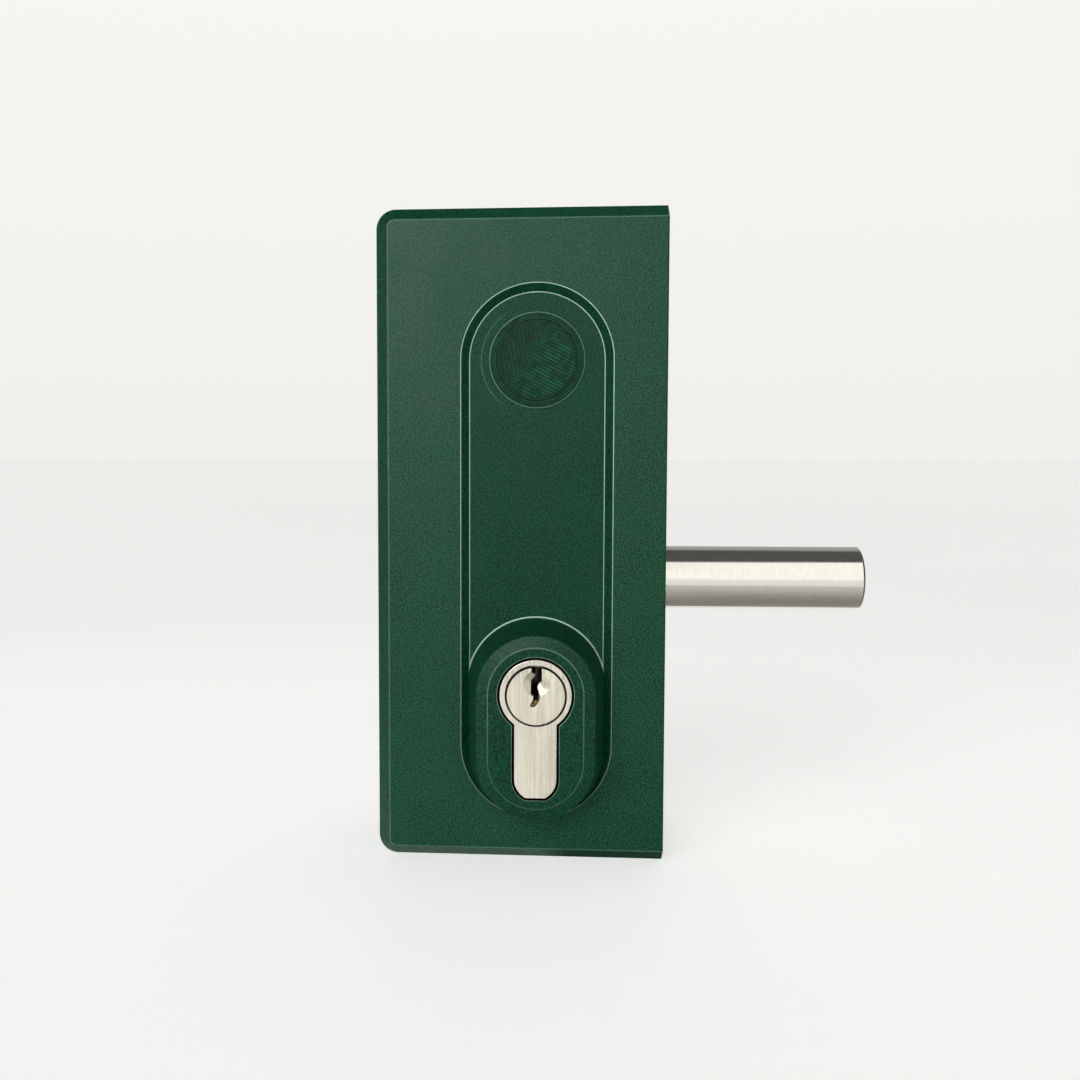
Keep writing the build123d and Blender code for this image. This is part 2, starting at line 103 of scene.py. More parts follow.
class Nodes:
    """Writes nodes and links into one node tree."""

    def __init__(self, tree: bpy.types.NodeTree) -> None:
        """Keep the tree that the nodes go into."""
        self.tree = tree

    def add(self, kind: str, **settings: object) -> bpy.types.Node:
        """Add one node.

        Args:
            kind: node type without the leading ShaderNode.
            settings: node properties to set.

        Returns:
            The new node.
        """
        node = self.tree.nodes.new("ShaderNode" + kind)
        for name, value in settings.items():
            setattr(node, name, value)
        return node

    def put(self, socket: Socket, value: object) -> None:
        """Link a socket to an input, or set the input's own value."""
        if isinstance(value, bpy.types.NodeSocket):
            self.tree.links.new(value, socket)
        elif isinstance(value, tuple) and len(value) == 3 and socket.type == "RGBA":
            socket.default_value = (*value, 1.0)
        else:
            socket.default_value = value

    def math(self, operation: str, a: object, b: object = 0.0, clamp: bool = False) -> Socket:
        """Arithmetic on two values.

        Args:
            operation: Blender's name of the operation.
            a, b: sockets or numbers.
            clamp: keep the result between 0 and 1.

        Returns:
            The result's socket.
        """
        node = self.add("Math", operation=operation, use_clamp=clamp)
        self.put(node.inputs[0], a)
        self.put(node.inputs[1], b)
        return node.outputs[0]

    def times(self, first: object, *others: object) -> Socket:
        """Product of values, each a socket or a number."""
        for other in others:
            first = self.math("MULTIPLY", first, other)
        return first

    def away(self, value: Socket, middle: float) -> Socket:
        """Distance of a value from a middle one."""
        return self.math("ABSOLUTE", self.math("SUBTRACT", value, middle))

    def hypot(self, across: Socket, rise: Socket) -> Socket:
        """Length of a flat vector."""
        squares = self.times(across, across), self.times(rise, rise)
        return self.math("SQRT", self.math("ADD", *squares))

    def remap(
        self, value: Socket, low: float, high: float, out_low: object = 0.0, out_high: object = 1.0
    ) -> Socket:
        """Stretch a range of values smoothly over another, clamped.

        Args:
            value: the socket to read.
            low, high: range read.
            out_low, out_high: range given.

        Returns:
            The result's socket.
        """
        node = self.add("MapRange", interpolation_type="SMOOTHSTEP")
        for index, item in enumerate((value, low, high, out_low, out_high)):
            self.put(node.inputs[index], item)
        return node.outputs[0]

    def mix(self, share: object, a: object, b: object, blend: str = "MIX") -> Socket:
        """Mix two colours.

        Args:
            share: how much of b.
            a, b: colours or sockets.
            blend: Blender's blend type.

        Returns:
            The mixed colour's socket.
        """
        node = self.add("Mix", data_type="RGBA", blend_type=blend)
        self.put(node.inputs[0], share)
        self.put(node.inputs[6], a)
        self.put(node.inputs[7], b)
        return node.outputs[2]

    def place(self, scale: Triple = (1.0, 1.0, 1.0), turn: Triple = (0.0, 0.0, 0.0)) -> Socket:
        """Object coordinates, stretched and turned.

        Args:
            scale: factor on each axis.
            turn: rotation in radians.

        Returns:
            The vector's socket.
        """
        coordinates = self.add("TexCoord").outputs["Object"]
        mapping = self.add("Mapping", vector_type="POINT")
        self.put(mapping.inputs["Vector"], coordinates)
        mapping.inputs["Rotation"].default_value = turn
        mapping.inputs["Scale"].default_value = scale
        return mapping.outputs[0]

    def axes(self, vector: Socket | None = None) -> tuple[Socket, Socket, Socket]:
        """X, Y and Z of a vector, or of the object coordinates."""
        split = self.add("SeparateXYZ")
        self.put(split.inputs[0], self.place() if vector is None else vector)
        return tuple(split.outputs)

    def noise(
        self, vector: object, scale: object, detail: float = 2.0, roughness: float = 0.5
    ) -> Socket:
        """Noise value at a vector.

        Args:
            vector: where it is read.
            scale: cells per metre.
            detail: octaves.
            roughness: strength of the finer octaves.

        Returns:
            The value's socket.
        """
        node = self.add("TexNoise")
        self.put(node.inputs["Vector"], vector)
        self.put(node.inputs["Scale"], scale)
        node.inputs["Detail"].default_value = detail
        node.inputs["Roughness"].default_value = roughness
        return node.outputs[0]

    def bump(self, height: Socket, depth: float) -> Socket:
        """Normal from a height.

        Args:
            height: height from 0 to 1.
            depth: what 1 means, in metres.

        Returns:
            The normal's socket.
        """
        node = self.add("Bump")
        node.inputs["Strength"].default_value = 1.0
        node.inputs["Distance"].default_value = depth
        self.put(node.inputs["Height"], height)
        return node.outputs[0]

    def group(self, tree: bpy.types.NodeTree, **values: object) -> bpy.types.Node:
        """Place a shared group with its own values.

        Args:
            tree: the group.
            values: input values by name, with _ for a space.

        Returns:
            The group node.
        """
        node = self.tree.nodes.new("ShaderNodeGroup")
        node.node_tree = tree
        for name, value in values.items():
            self.put(node.inputs[name.replace("_", " ")], value)
        return node


def new_group(
    name: str, inputs: dict[str, float], outputs: tuple[str, ...]
) -> tuple[bpy.types.NodeTree, Nodes, Socket, Socket]:
    """Start a shader group whose sockets are all values.

    Args:
        name: the group's name.
        inputs: input names with their usual values.
        outputs: output names.

    Returns:
        The tree, its writer, its input sockets and its output sockets.
    """
    tree = bpy.data.node_groups.new(name, "ShaderNodeTree")
    for label, value in inputs.items():
        socket = tree.interface.new_socket(label, in_out="INPUT", socket_type="NodeSocketFloat")
        socket.default_value = value
    for label in outputs:
        tree.interface.new_socket(label, in_out="OUTPUT", socket_type="NodeSocketFloat")
    entry = tree.nodes.new("NodeGroupInput")
    leave = tree.nodes.new("NodeGroupOutput")
    return tree, Nodes(tree), entry.outputs, leave.inputs


def make_pebble_group() -> bpy.types.NodeTree:
    """Orange peel of a sprayed coat: a fine pebbled height and a mottle of the same grain.

    Returns:
        The group, with inputs Cells and Depth, and outputs Height and Mottle.
    """
    inputs = {"Cells": 1500.0, "Depth": 1.0}
    tree, nodes, entry, leave = new_group("pebble", inputs, ("Height", "Mottle"))
    where = nodes.place()
    coarse = nodes.noise(where, entry["Cells"], 3.0, 0.62)
    fine = nodes.noise(where, nodes.times(entry["Cells"], 2.1), 2.0, 0.6)
    both = nodes.math("ADD", nodes.times(coarse, 0.55), nodes.times(fine, 0.45))
    shaped = nodes.remap(both, 0.41, 0.60)
    nodes.put(leave["Height"], nodes.times(shaped, entry["Depth"]))
    nodes.put(leave["Mottle"], shaped)
    return tree


def make_brush_group(lines: Lines) -> bpy.types.NodeTree:
    """Fine lines left by a belt, a wheel or a grinder.

    Args:
        lines: how the lines run.

    Returns:
        The group, with input Cells and outputs Height and Streak.
    """
    name = f"brush_{lines.name.lower()}"
    tree, nodes, entry, leave = new_group(name, {"Cells": 2500.0}, ("Height", "Streak"))
    where = nodes.place(lines.value)
    fine = nodes.noise(where, entry["Cells"], 3.0, 0.7)
    broad = nodes.noise(where, nodes.times(entry["Cells"], 0.36), 2.0, 0.6)
    nodes.put(leave["Height"], nodes.remap(fine, 0.3, 0.7))
    both = nodes.math("ADD", nodes.times(fine, 0.55), nodes.times(broad, 0.45))
    nodes.put(leave["Streak"], nodes.remap(both, 0.34, 0.66))
    return tree


def make_edge_group() -> bpy.types.NodeTree:
    """Painted highlight and wear along edges: the rim painted into the mesh, broken up by noise.

    Returns:
        The group, with inputs Amount and Breakup, and output Mask.
    """
    tree, nodes, entry, leave = new_group("edge_wear_and_highlight", {"Amount": 1.0, "Breakup": 0.3}, ("Mask",))
    rim = nodes.add("Attribute", attribute_name="rim").outputs["Fac"]
    patches = nodes.remap(nodes.noise(nodes.place(), 260.0, 3.0, 0.6), 0.3, 0.7)
    kept = nodes.math("SUBTRACT", 1.0, nodes.times(patches, entry["Breakup"]))
    highlight_and_wear = nodes.math("MULTIPLY", nodes.times(rim, kept), entry["Amount"], clamp=True)
    nodes.put(leave["Mask"], highlight_and_wear)
    return tree


def make_handling_group() -> bpy.types.NodeTree:
    """Broad patches from handling and dust, for roughness and a little tone.

    Returns:
        The group, with input Cells and outputs Smudge and Speck.
    """
    tree, nodes, entry, leave = new_group("handling", {"Cells": 60.0}, ("Smudge", "Speck"))
    where = nodes.place()
    nodes.put(leave["Smudge"], nodes.remap(nodes.noise(where, entry["Cells"], 4.0, 0.6), 0.3, 0.7))
    specks = nodes.noise(where, nodes.times(entry["Cells"], 30.0), 2.0)
    nodes.put(leave["Speck"], nodes.remap(specks, 0.68, 0.76))
    return tree


class Effects:
    """The shared shader groups, each built once."""

    def __init__(self) -> None:
        """Build all of them."""
        self.pebble = make_pebble_group()
        self.brush = {lines: make_brush_group(lines) for lines in Lines}
        self.edge = make_edge_group()
        self.handling = make_handling_group()


@dataclass(frozen=True)
class Finish:
    """What all finishes share.

    Fields:
        name: the material's name.
        colour: linear base colour.
        roughness: lowest and highest roughness.
    """

    name: str
    colour: Colour
    roughness: tuple[float, float]

    def start(self) -> tuple[bpy.types.Material, Nodes, bpy.types.Node]:
        """New material with a Principled shader.

        Returns:
            The material, its writer and its shader node.
        """
        material = bpy.data.materials.new(self.name)
        material.use_nodes = True
        nodes = Nodes(material.node_tree)
        return material, nodes, material.node_tree.nodes["Principled BSDF"]


@dataclass(frozen=True)
class ToolMarks:
    """Cutter lines under a coat: slanting at the lower right, faint above, round outside.

    Fields:
        slanting, upright: turn from level in degrees, and closeness, of both sets of lines.
        fall: how much a place's depth below the centre counts towards the slanting lines.
        begin: where these lines begin and where they are whole, in metres to the lower right.
        faint: strength of the upright lines.
        border: distances from the centre, in metres, over which the straight lines end.
        ringed: the same, over which the round ones begin.
        pitch: distance between two round lines in metres.
        ring_strength: strength of the round lines.
        patch_cells: patches per metre, in which the lines come and go.
    """

    slanting: tuple[float, float] = (-27.0, 390.0)
    upright: tuple[float, float] = (-80.0, 330.0)
    fall: float = 0.55
    begin: tuple[float, float] = (-0.008, 0.005)
    faint: float = 0.35
    border: tuple[float, float] = (0.0087, 0.0093)
    ringed: tuple[float, float] = (0.0093, 0.0097)
    pitch: float = 0.00055
    ring_strength: float = 0.75
    patch_cells: float = 620.0

    def height(self, nodes: Nodes, across: Socket, down: Socket, reach: Socket) -> Socket:
        """Write the lines.

        Args:
            nodes: writer of the material.
            across, down, reach: place measured from the blank's centre.

        Returns:
            The lines' height.
        """
        strong = nodes.remap(nodes.math("ADD", across, nodes.times(down, self.fall)), *self.begin)
        lower = nodes.times(self.bands(nodes, *self.slanting), strong)
        weak = nodes.times(nodes.math("SUBTRACT", 1.0, strong), self.faint)
        upper = nodes.times(self.bands(nodes, *self.upright), weak)
        inner = nodes.remap(reach, *self.border, 1.0, 0.0)
        straight = nodes.times(nodes.math("ADD", lower, upper), inner)
        rings = nodes.math("SINE", nodes.times(reach, 2 * math.pi / self.pitch))
        rings = nodes.remap(rings, -0.2, 1.0, 0.0, self.ring_strength)
        rings = nodes.times(rings, nodes.remap(reach, *self.ringed))
        patches = nodes.noise(nodes.place(), self.patch_cells, 3.0, 0.6)
        patches = nodes.remap(patches, 0.38, 0.6, 0.25, 1.0)
        return nodes.times(nodes.math("ADD", straight, rings), patches)

    def bands(self, nodes: Nodes, degrees: float, scale: float) -> Socket:
        """Parallel lines.

        Args:
            nodes: writer of the material.
            degrees: how far they are turned from level.
            scale: how close they are.

        Returns:
            Their value from 0 to 1.
        """
        wave = nodes.add("TexWave", wave_type="BANDS", bands_direction="Z", wave_profile="SIN")
        nodes.put(wave.inputs["Vector"], nodes.place(turn=(0.0, math.radians(degrees), 0.0)))
        settings = {"Scale": scale, "Distortion": 1.1, "Detail": 1.0, "Detail Scale": 0.6}
        for name, value in settings.items():
            wave.inputs[name].default_value = value
        return wave.outputs["Fac"]


@dataclass(frozen=True)
class PowderCoat(Finish):
    """Sprayed coat on a casting, with a painted highlight along the edges.

    Fields:
        edge_highlight: colour of the painted highlight along an edge.
        cells: pebbles per metre.
        gloss: specular level of the resin.
        grain: strength of the mottle.
        darken, lighten, dust: what a grain of 1 takes from the colour, adds to it and adds as
            grey.
        smudge, speck: how much handling and specks change the tone.
        depth: depth of the pebbles in metres.
        marks: lines of the cutter under the coat of the blank, or None.
        blank: x and z of the blank's centre in millimetres.
        witness_r: radius of the faint ring round the blank in millimetres.
        witness: strength of that ring.
    """

    edge_highlight: Colour
    cells: float = 2400.0
    gloss: float = 0.15
    grain: float = 1.3
    darken: float = 0.64
    lighten: float = 0.86
    dust: float = 0.006
    smudge: float = 0.14
    speck: float = 0.6
    depth: float = 0.000016
    marks: ToolMarks | None = None
    blank: tuple[float, float] = (-31.0, 54.1)
    witness_r: float = 13.4
    witness: float = 0.07

    def build(self, effects: Effects) -> bpy.types.Material:
        """Write the material.

        Args:
            effects: the shared groups.

        Returns:
            The material.
        """
        material, nodes, shader = self.start()
        pebble = nodes.group(effects.pebble, Cells=self.cells)
        handling = nodes.group(effects.handling, Cells=42.0)
        edge = nodes.group(effects.edge, Amount=1.0, Breakup=0.15)
        dark = toned(self.colour, max(0.0, 1.0 - self.darken * self.grain))
        light = toned(self.colour, 1.0 + self.lighten * self.grain, self.dust * self.grain)
        base = nodes.mix(pebble.outputs["Mottle"], dark, light)
        base = nodes.mix(nodes.times(handling.outputs["Smudge"], self.smudge), base, light)
        specks = nodes.times(handling.outputs["Speck"], self.speck)
        base = nodes.mix(specks, base, toned(self.colour, 3.0, 0.02))
        across, down, reach = self.from_blank(nodes)
        height = pebble.outputs["Height"]
        if self.marks is not None:
            marks = self.marks.height(nodes, across, down, reach)
            base = nodes.mix(0.7, base, dark)
            base = nodes.mix(marks, base, toned(self.colour, 2.7, 0.008))
            height = nodes.math("ADD", nodes.times(height, 0.6), marks)
        else:
            off_ring = nodes.away(reach, self.witness_r * MM)
            ring = nodes.remap(off_ring, 0.00004, 0.0003, self.witness, 0.0)
            left = nodes.remap(across, -0.011, -0.006, 1.0, 0.0)
            base = nodes.mix(nodes.times(ring, left), base, self.edge_highlight)
        # Painted highlight: the rim along the rounded edges turns to the highlight colour.
        base = nodes.mix(edge.outputs["Mask"], base, self.edge_highlight)
        nodes.put(shader.inputs["Base Color"], base)
        rough = nodes.remap(handling.outputs["Smudge"], 0.0, 1.0, *self.roughness)
        nodes.put(shader.inputs["Roughness"], rough)
        nodes.put(shader.inputs["Normal"], nodes.bump(height, self.depth))
        shader.inputs["Specular IOR Level"].default_value = self.gloss
        return material

    def from_blank(self, nodes: Nodes) -> tuple[Socket, Socket, Socket]:
        """Place on the recess floor, measured from the blank's centre.

        Args:
            nodes: writer of the material.

        Returns:
            Distance to the right, downwards and away.
        """
        x, _, z = nodes.axes()
        centre_x, centre_z = (value * MM for value in self.blank)
        across, down = nodes.math("SUBTRACT", x, centre_x), nodes.math("SUBTRACT", centre_z, z)
        return across, down, nodes.hypot(across, down)


@dataclass(frozen=True)
class BrushedMetal(Finish):
    """Metal with lines of a belt or wheel.

    Fields:
        lines: how they run.
        cells: lines per metre, roughly.
        depth: depth of the lines in metres.
        contrast: how much the streaks change the tone.
        edge_amount: how bright the broken edges are painted, as highlight and wear.
        inside: colour of the bare metal deeper than inside_from, or None.
        inside_from: distance from the middle, in millimetres, where the plating starts.
        keyway_shadow_from: heights in millimetres over which the keyway turns from bare to painted
            shadow.
        seam: x, z and radius in millimetres of the seam round a plug, or None.
        seam_width: half of the seam's width in millimetres.
        dark_chamfer_end: x in millimetres of the bar's end, whose chamfer is painted dark, or
            None.
        keyway_shadow, gap_shade: painted shadow in the keyway, and painted shade in the seam.
    """

    lines: Lines = Lines.UPRIGHT
    cells: float = 2600.0
    depth: float = 0.000004
    contrast: float = 0.25
    edge_amount: float = 0.5
    inside: Colour | None = None
    inside_from: float = 28.6
    keyway_shadow_from: tuple[float, float] = (-26.6, -25.0)
    seam: tuple[float, float, float] | None = None
    seam_width: float = 0.28
    dark_chamfer_end: float | None = None
    keyway_shadow: Colour = (0.012, 0.010, 0.008)
    gap_shade: Colour = (0.012, 0.011, 0.010)

    def build(self, effects: Effects) -> bpy.types.Material:
        """Write the material.

        Args:
            effects: the shared groups.

        Returns:
            The material.
        """
        material, nodes, shader = self.start()
        brush = nodes.group(effects.brush[self.lines], Cells=self.cells)
        handling = nodes.group(effects.handling, Cells=90.0)
        edge = nodes.group(effects.edge, Amount=self.edge_amount, Breakup=0.5)
        dark = toned(self.colour, 1.0 - self.contrast)
        base = nodes.mix(brush.outputs["Streak"], dark, self.colour)
        shader.inputs["Metallic"].default_value = 1.0
        if self.inside is not None:
            # Painted shadow: the keyway turns near black towards its top.
            deep, shadowed = self.depth_masks(nodes)
            base = nodes.mix(deep, base, nodes.mix(shadowed, self.inside, self.keyway_shadow))
            plated = nodes.math("SUBTRACT", 1.0, nodes.times(deep, 0.8))
            nodes.put(shader.inputs["Metallic"], plated)
        # Painted highlight and wear: the rim along the edges gets a lighter tone.
        base = nodes.mix(edge.outputs["Mask"], base, toned(self.colour, 1.12))
        base = nodes.mix(nodes.times(handling.outputs["Speck"], 0.25), base, dark)
        if self.seam is not None:
            # Painted shade in the gap between the plug and the body.
            base = nodes.mix(self.seam_mask(nodes, self.seam), base, self.gap_shade)
        # The chamfer at the bar's end is painted dark.
        if self.dark_chamfer_end is not None:
            base = nodes.mix(self.end_mask(nodes, self.dark_chamfer_end), base, toned(self.colour, 0.12))
        nodes.put(shader.inputs["Base Color"], base)
        masks = (brush.outputs["Streak"], handling.outputs["Smudge"])
        halves = (nodes.times(mask, 0.5) for mask in masks)
        rough = nodes.remap(nodes.math("ADD", *halves), 0.15, 0.85, *self.roughness)
        nodes.put(shader.inputs["Roughness"], rough)
        nodes.put(shader.inputs["Normal"], nodes.bump(brush.outputs["Height"], self.depth))
        return material

    def depth_masks(self, nodes: Nodes) -> tuple[Socket, Socket]:
        """Where the plating never reached the keyway, and where its top is painted black as
        shadow.

        Args:
            nodes: writer of the material.

        Returns:
            Both masks.
        """
        _, y, z = nodes.axes()
        depth = nodes.math("ABSOLUTE", y)
        deep = nodes.remap(depth, (self.inside_from - 0.5) * MM, self.inside_from * MM, 1.0, 0.0)
        low, high = (value * MM for value in self.keyway_shadow_from)
        return deep, nodes.remap(z, low, high)

    def end_mask(self, nodes: Nodes, end: float) -> Socket:
        """Chamfer at the end of a bar, painted dark, with the end's flat left out.

        Args:
            nodes: writer of the material.
            end: x of the end in millimetres.

        Returns:
            The mask.
        """
        along, _, _ = nodes.axes()
        started = nodes.remap(along, (end - 0.6) * MM, (end - 0.48) * MM)
        ended = nodes.remap(along, (end - 0.06) * MM, (end - 0.01) * MM, 1.0, 0.0)
        return nodes.times(started, ended)

    def seam_mask(self, nodes: Nodes, seam: tuple[float, float, float]) -> Socket:
        """Dark line round a plug: painted shade in the gap.

        Args:
            nodes: writer of the material.
            seam: x, z and radius in millimetres.

        Returns:
            The mask.
        """
        x, _, z = nodes.axes()
        centre_x, centre_z, radius = (value * MM for value in seam)
        across, rise = nodes.math("SUBTRACT", x, centre_x), nodes.math("SUBTRACT", z, centre_z)
        away = nodes.away(nodes.hypot(across, rise), radius)
        return nodes.remap(away, self.seam_width * 0.55 * MM, self.seam_width * 1.2 * MM, 1.0, 0.0)


@dataclass(frozen=True)
class GrainedMetal(Finish):
    """Metal with no direction: cast, sintered, plated or tumbled.

    Fields:
        second: a second tone in broad patches.
        cells: grains per metre, roughly.
        depth: depth of the grain in metres.
        contrast: how much the grain changes the tone.
    """

    second: Colour
    cells: float = 1800.0
    depth: float = 0.000008
    contrast: float = 0.2

    def build(self, effects: Effects) -> bpy.types.Material:
        """Write the material.

        Args:
            effects: the shared groups.

        Returns:
            The material.
        """
        material, nodes, shader = self.start()
        pebble = nodes.group(effects.pebble, Cells=self.cells)
        handling = nodes.group(effects.handling, Cells=120.0)
        edge = nodes.group(effects.edge, Amount=0.6, Breakup=0.4)
        dark = toned(self.colour, 1.0 - self.contrast)
        base = nodes.mix(pebble.outputs["Mottle"], dark, self.colour)
        base = nodes.mix(nodes.times(handling.outputs["Smudge"], 0.4), base, self.second)
        # Painted highlight and wear: the rim along the edges gets a lighter tone.
        base = nodes.mix(edge.outputs["Mask"], base, toned(self.colour, 1.2))
        nodes.put(shader.inputs["Base Color"], base)
        rough = nodes.remap(handling.outputs["Smudge"], 0.1, 0.9, *self.roughness)
        nodes.put(shader.inputs["Roughness"], rough)
        nodes.put(shader.inputs["Normal"], nodes.bump(pebble.outputs["Height"], self.depth))
        shader.inputs["Metallic"].default_value = 1.0
        return material


class Finishes:
    """Every finish of the lock, built once and named for what it is."""

    def __init__(self) -> None:
        """Build the groups and the materials."""
        effects = Effects()
        # Second green: painted shade, a darker copy of the coat for recess, boss and blank.
        green, shaded_green = from_screen(4, 66, 42), from_screen(1, 60, 37)
        # The two pale colours are painted highlights along the coat's edges.
        pale, paler = from_screen(142, 184, 158), from_screen(212, 246, 226)
        seam = (-30.92, -24.99, 7.04)
        finishes = (
            PowderCoat("green_coat", green, (0.40, 0.50), pale),
            # Painted shade: the recess and the boss get the darker copy of the coat.
            PowderCoat(
                "green_coat_recess", shaded_green, (0.40, 0.50), paler, cells=2650.0, gloss=0.09,
                grain=1.35,
            ),
            # The blank in the recess gets the darker copy too: painted shade.
            PowderCoat(
                "green_coat_milled", shaded_green, (0.36, 0.46), pale, gloss=0.07, marks=ToolMarks()
            ),
            BrushedMetal(
                "stainless", from_screen(216, 213, 206), (0.24, 0.4), cells=2200.0, contrast=0.22
            ),
            BrushedMetal(
                "stainless_bar", from_screen(242, 239, 230), (0.08, 0.14), lines=Lines.ROUND_BAR,
                cells=6400.0, depth=0.0000005, contrast=0.08, dark_chamfer_end=50.0,
            ),
            GrainedMetal(
                "screw_stainless", from_screen(215, 213, 208), (0.25, 0.4),
                second=from_screen(190, 188, 182),
            ),
            GrainedMetal(
                "bronze", from_screen(184, 138, 84), (0.3, 0.5), cells=2600.0, contrast=0.35,
                second=from_screen(140, 104, 62),
            ),
            GrainedMetal(
                "zinc_steel", from_screen(200, 203, 206), (0.28, 0.45),
                second=from_screen(170, 178, 186),
            ),
            BrushedMetal(
                "spring_steel", from_screen(110, 112, 124), (0.25, 0.4), lines=Lines.LEVEL,
                contrast=0.3,
            ),
            BrushedMetal(
                "satin_nickel", from_screen(240, 235, 219), (0.24, 0.36), cells=3400.0,
                contrast=0.18, seam=seam,
            ),
            BrushedMetal(
                "satin_nickel_plug", from_screen(240, 235, 217), (0.26, 0.38), cells=3200.0,
                contrast=0.2, inside=from_screen(252, 236, 204), seam=seam,
            ),
            GrainedMetal(
                "pin_brass", from_screen(214, 176, 108), (0.14, 0.24), cells=3000.0, contrast=0.15,
                second=from_screen(190, 150, 86),
            ),
        )
        self.materials = {finish.name: finish.build(effects) for finish in finishes}

    def __getitem__(self, name: str) -> bpy.types.Material:
        """Material by name."""
        return self.materials[name]


# ---- Mesh making


def finish_mesh(
    piece: bpy.types.Object, material: bpy.types.Material, body: str,
    nodes: tuple[str, ...] = (),
) -> None:
    """Give a piece its finish and body, and hide the nodes that it stands for.

    Args:
        piece: the new object.
        material: its finish.
        body: the CAD body that it rides on.
        nodes: CAD nodes that it replaces.
    """
    piece.data.materials.clear()
    piece.data.materials.append(material)
    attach(piece, body)
    if nodes:
        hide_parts(*nodes)
    if material.name.startswith("green_coat"):
        coated = bpy.data.collections.get(COATED) or bpy.data.collections.new(COATED)
        coated.objects.link(piece)
    log.info("piece %s on %s, %d faces", piece.name, body, len(piece.data.polygons))


def link_mesh(name: str, mesh: bpy.types.Mesh) -> bpy.types.Object:
    """Put a mesh in the scene as an object."""
    piece = bpy.data.objects.new(name, mesh)
    bpy.context.scene.collection.objects.link(piece)
    return piece


def write_mesh(name: str, shape: bmesh.types.BMesh) -> bpy.types.Object:
    """Turn a bmesh into a smooth-shaded object whose flats stay flat.

    Args:
        name: the object's name.
        shape: the finished bmesh, which is freed.

    Returns:
        The object.
    """
    for face in shape.faces:
        face.smooth = True
    mesh = bpy.data.meshes.new(name)
    shape.to_mesh(mesh)
    shape.free()
    piece = link_mesh(name, mesh)
    weighted = piece.modifiers.new("flat_faces", "WEIGHTED_NORMAL")
    weighted.mode = "FACE_AREA_WITH_ANGLE"
    weighted.weight = 50
    weighted.keep_sharp = True
    return piece


@dataclass(frozen=True)
class Edging:
    """How the edges of a copied node are rounded.

    Fields:
        radius: in millimetres.
        least_angle: smallest angle in degrees between faces that counts as an edge.
        segments: faces across the round.
        small_face: faces below this area in square millimetres make up a curve, so edges
            between two of them need curve_angle.
        curve_angle: smallest angle for those.
        highlight_and_wear: strength of the rim along the round, a painted highlight and wear.
        reach: circle in x and z, with its radius, all in millimetres, that an edge must lie on.
    """

    radius: float = 0.3
    least_angle: float = 12.0
    segments: int = 3
    small_face: float = 16.0
    curve_angle: float = 26.0
    highlight_and_wear: float = 1.0
    reach: tuple[float, float, float] | None = None

    def counts(self, edge: bmesh.types.BMEdge) -> bool:
        """True if this edge is to be rounded."""
        if len(edge.link_faces) != 2:
            return False
        if self.reach is not None:
            middle_x, middle_z, radius = self.reach
            for vert in edge.verts:
                away = math.hypot(vert.co.x / MM - middle_x, vert.co.z / MM - middle_z)
                if abs(away - radius) > 0.03:
                    return False
        angle = math.degrees(edge.calc_face_angle(0.0))
        first, second = (face.calc_area() * 1e6 for face in edge.link_faces)
        both_small = first < self.small_face and second < self.small_face
        similar = max(first, second) < 2.5 * min(first, second)
        return angle > (self.curve_angle if both_small and similar else self.least_angle)


def node_shape(node: str) -> bmesh.types.BMesh:
    """Welded copy of a CAD node with its flat faces joined.

    Args:
        node: the CAD node's name.

    Returns:
        The bmesh, in the row frame.
    """
    shape = bmesh.new()
    shape.from_mesh(frame["nodes"][node].data)
    bmesh.ops.remove_doubles(shape, verts=shape.verts, dist=0.002 * MM)
    bmesh.ops.dissolve_limit(
        shape, angle_limit=math.radians(0.6), verts=shape.verts, edges=shape.edges
    )
    bmesh.ops.recalc_face_normals(shape, faces=shape.faces)
    return shape


def round_edges(shape: bmesh.types.BMesh, edging: Edging) -> None:
    """Round the edges of a shape and paint a rim along them, for a painted highlight and wear.

    Args:
        shape: the bmesh to change.
        edging: what counts as an edge, and its radius.
    """
    rim = shape.verts.layers.float.get("rim") or shape.verts.layers.float.new("rim")
    edges = [edge for edge in shape.edges if edging.counts(edge)]
    made = bmesh.ops.bevel(
        shape, geom=edges, offset=edging.radius * MM, offset_type="OFFSET",
        segments=edging.segments, profile=0.5, affect="EDGES", clamp_overlap=False,
        miter_outer="SHARP", miter_inner="SHARP",
    )
    # The finishes paint the rim lighter: a painted highlight, and wear on metal.
    strip = set(made["faces"])
    for vert in made["verts"]:
        inside = all(face in strip for face in vert.link_faces)
        vert[rim] = edging.highlight_and_wear if inside else 0.0


def edged_copy(node: str, name: str, *edgings: Edging) -> bpy.types.Object:
    """Copy of a CAD node with rounded, rim-painted edges.

    Args:
        node: the CAD node's name.
        name: the new piece's name.
        edgings: how the edges are rounded, one pass after the other.

    Returns:
        The object.
    """
    shape = node_shape(node)
    reach = []
    for axis in range(3):
        places = [vert.co[axis] for vert in shape.verts]
        reach.append((min(places), max(places)))
    for edging in edgings:
        shape.normal_update()
        round_edges(shape, edging)
    for vert in shape.verts:
        for axis, (low, high) in enumerate(reach):
            vert.co[axis] = min(max(vert.co[axis], low), high)
    return write_mesh(name, shape)


def spoke(radius: float, angle: float, height: float) -> Vector:
    """Point round local Z, in metres, from sizes in millimetres."""
    return Vector((radius * math.cos(angle), radius * math.sin(angle), height)) * MM


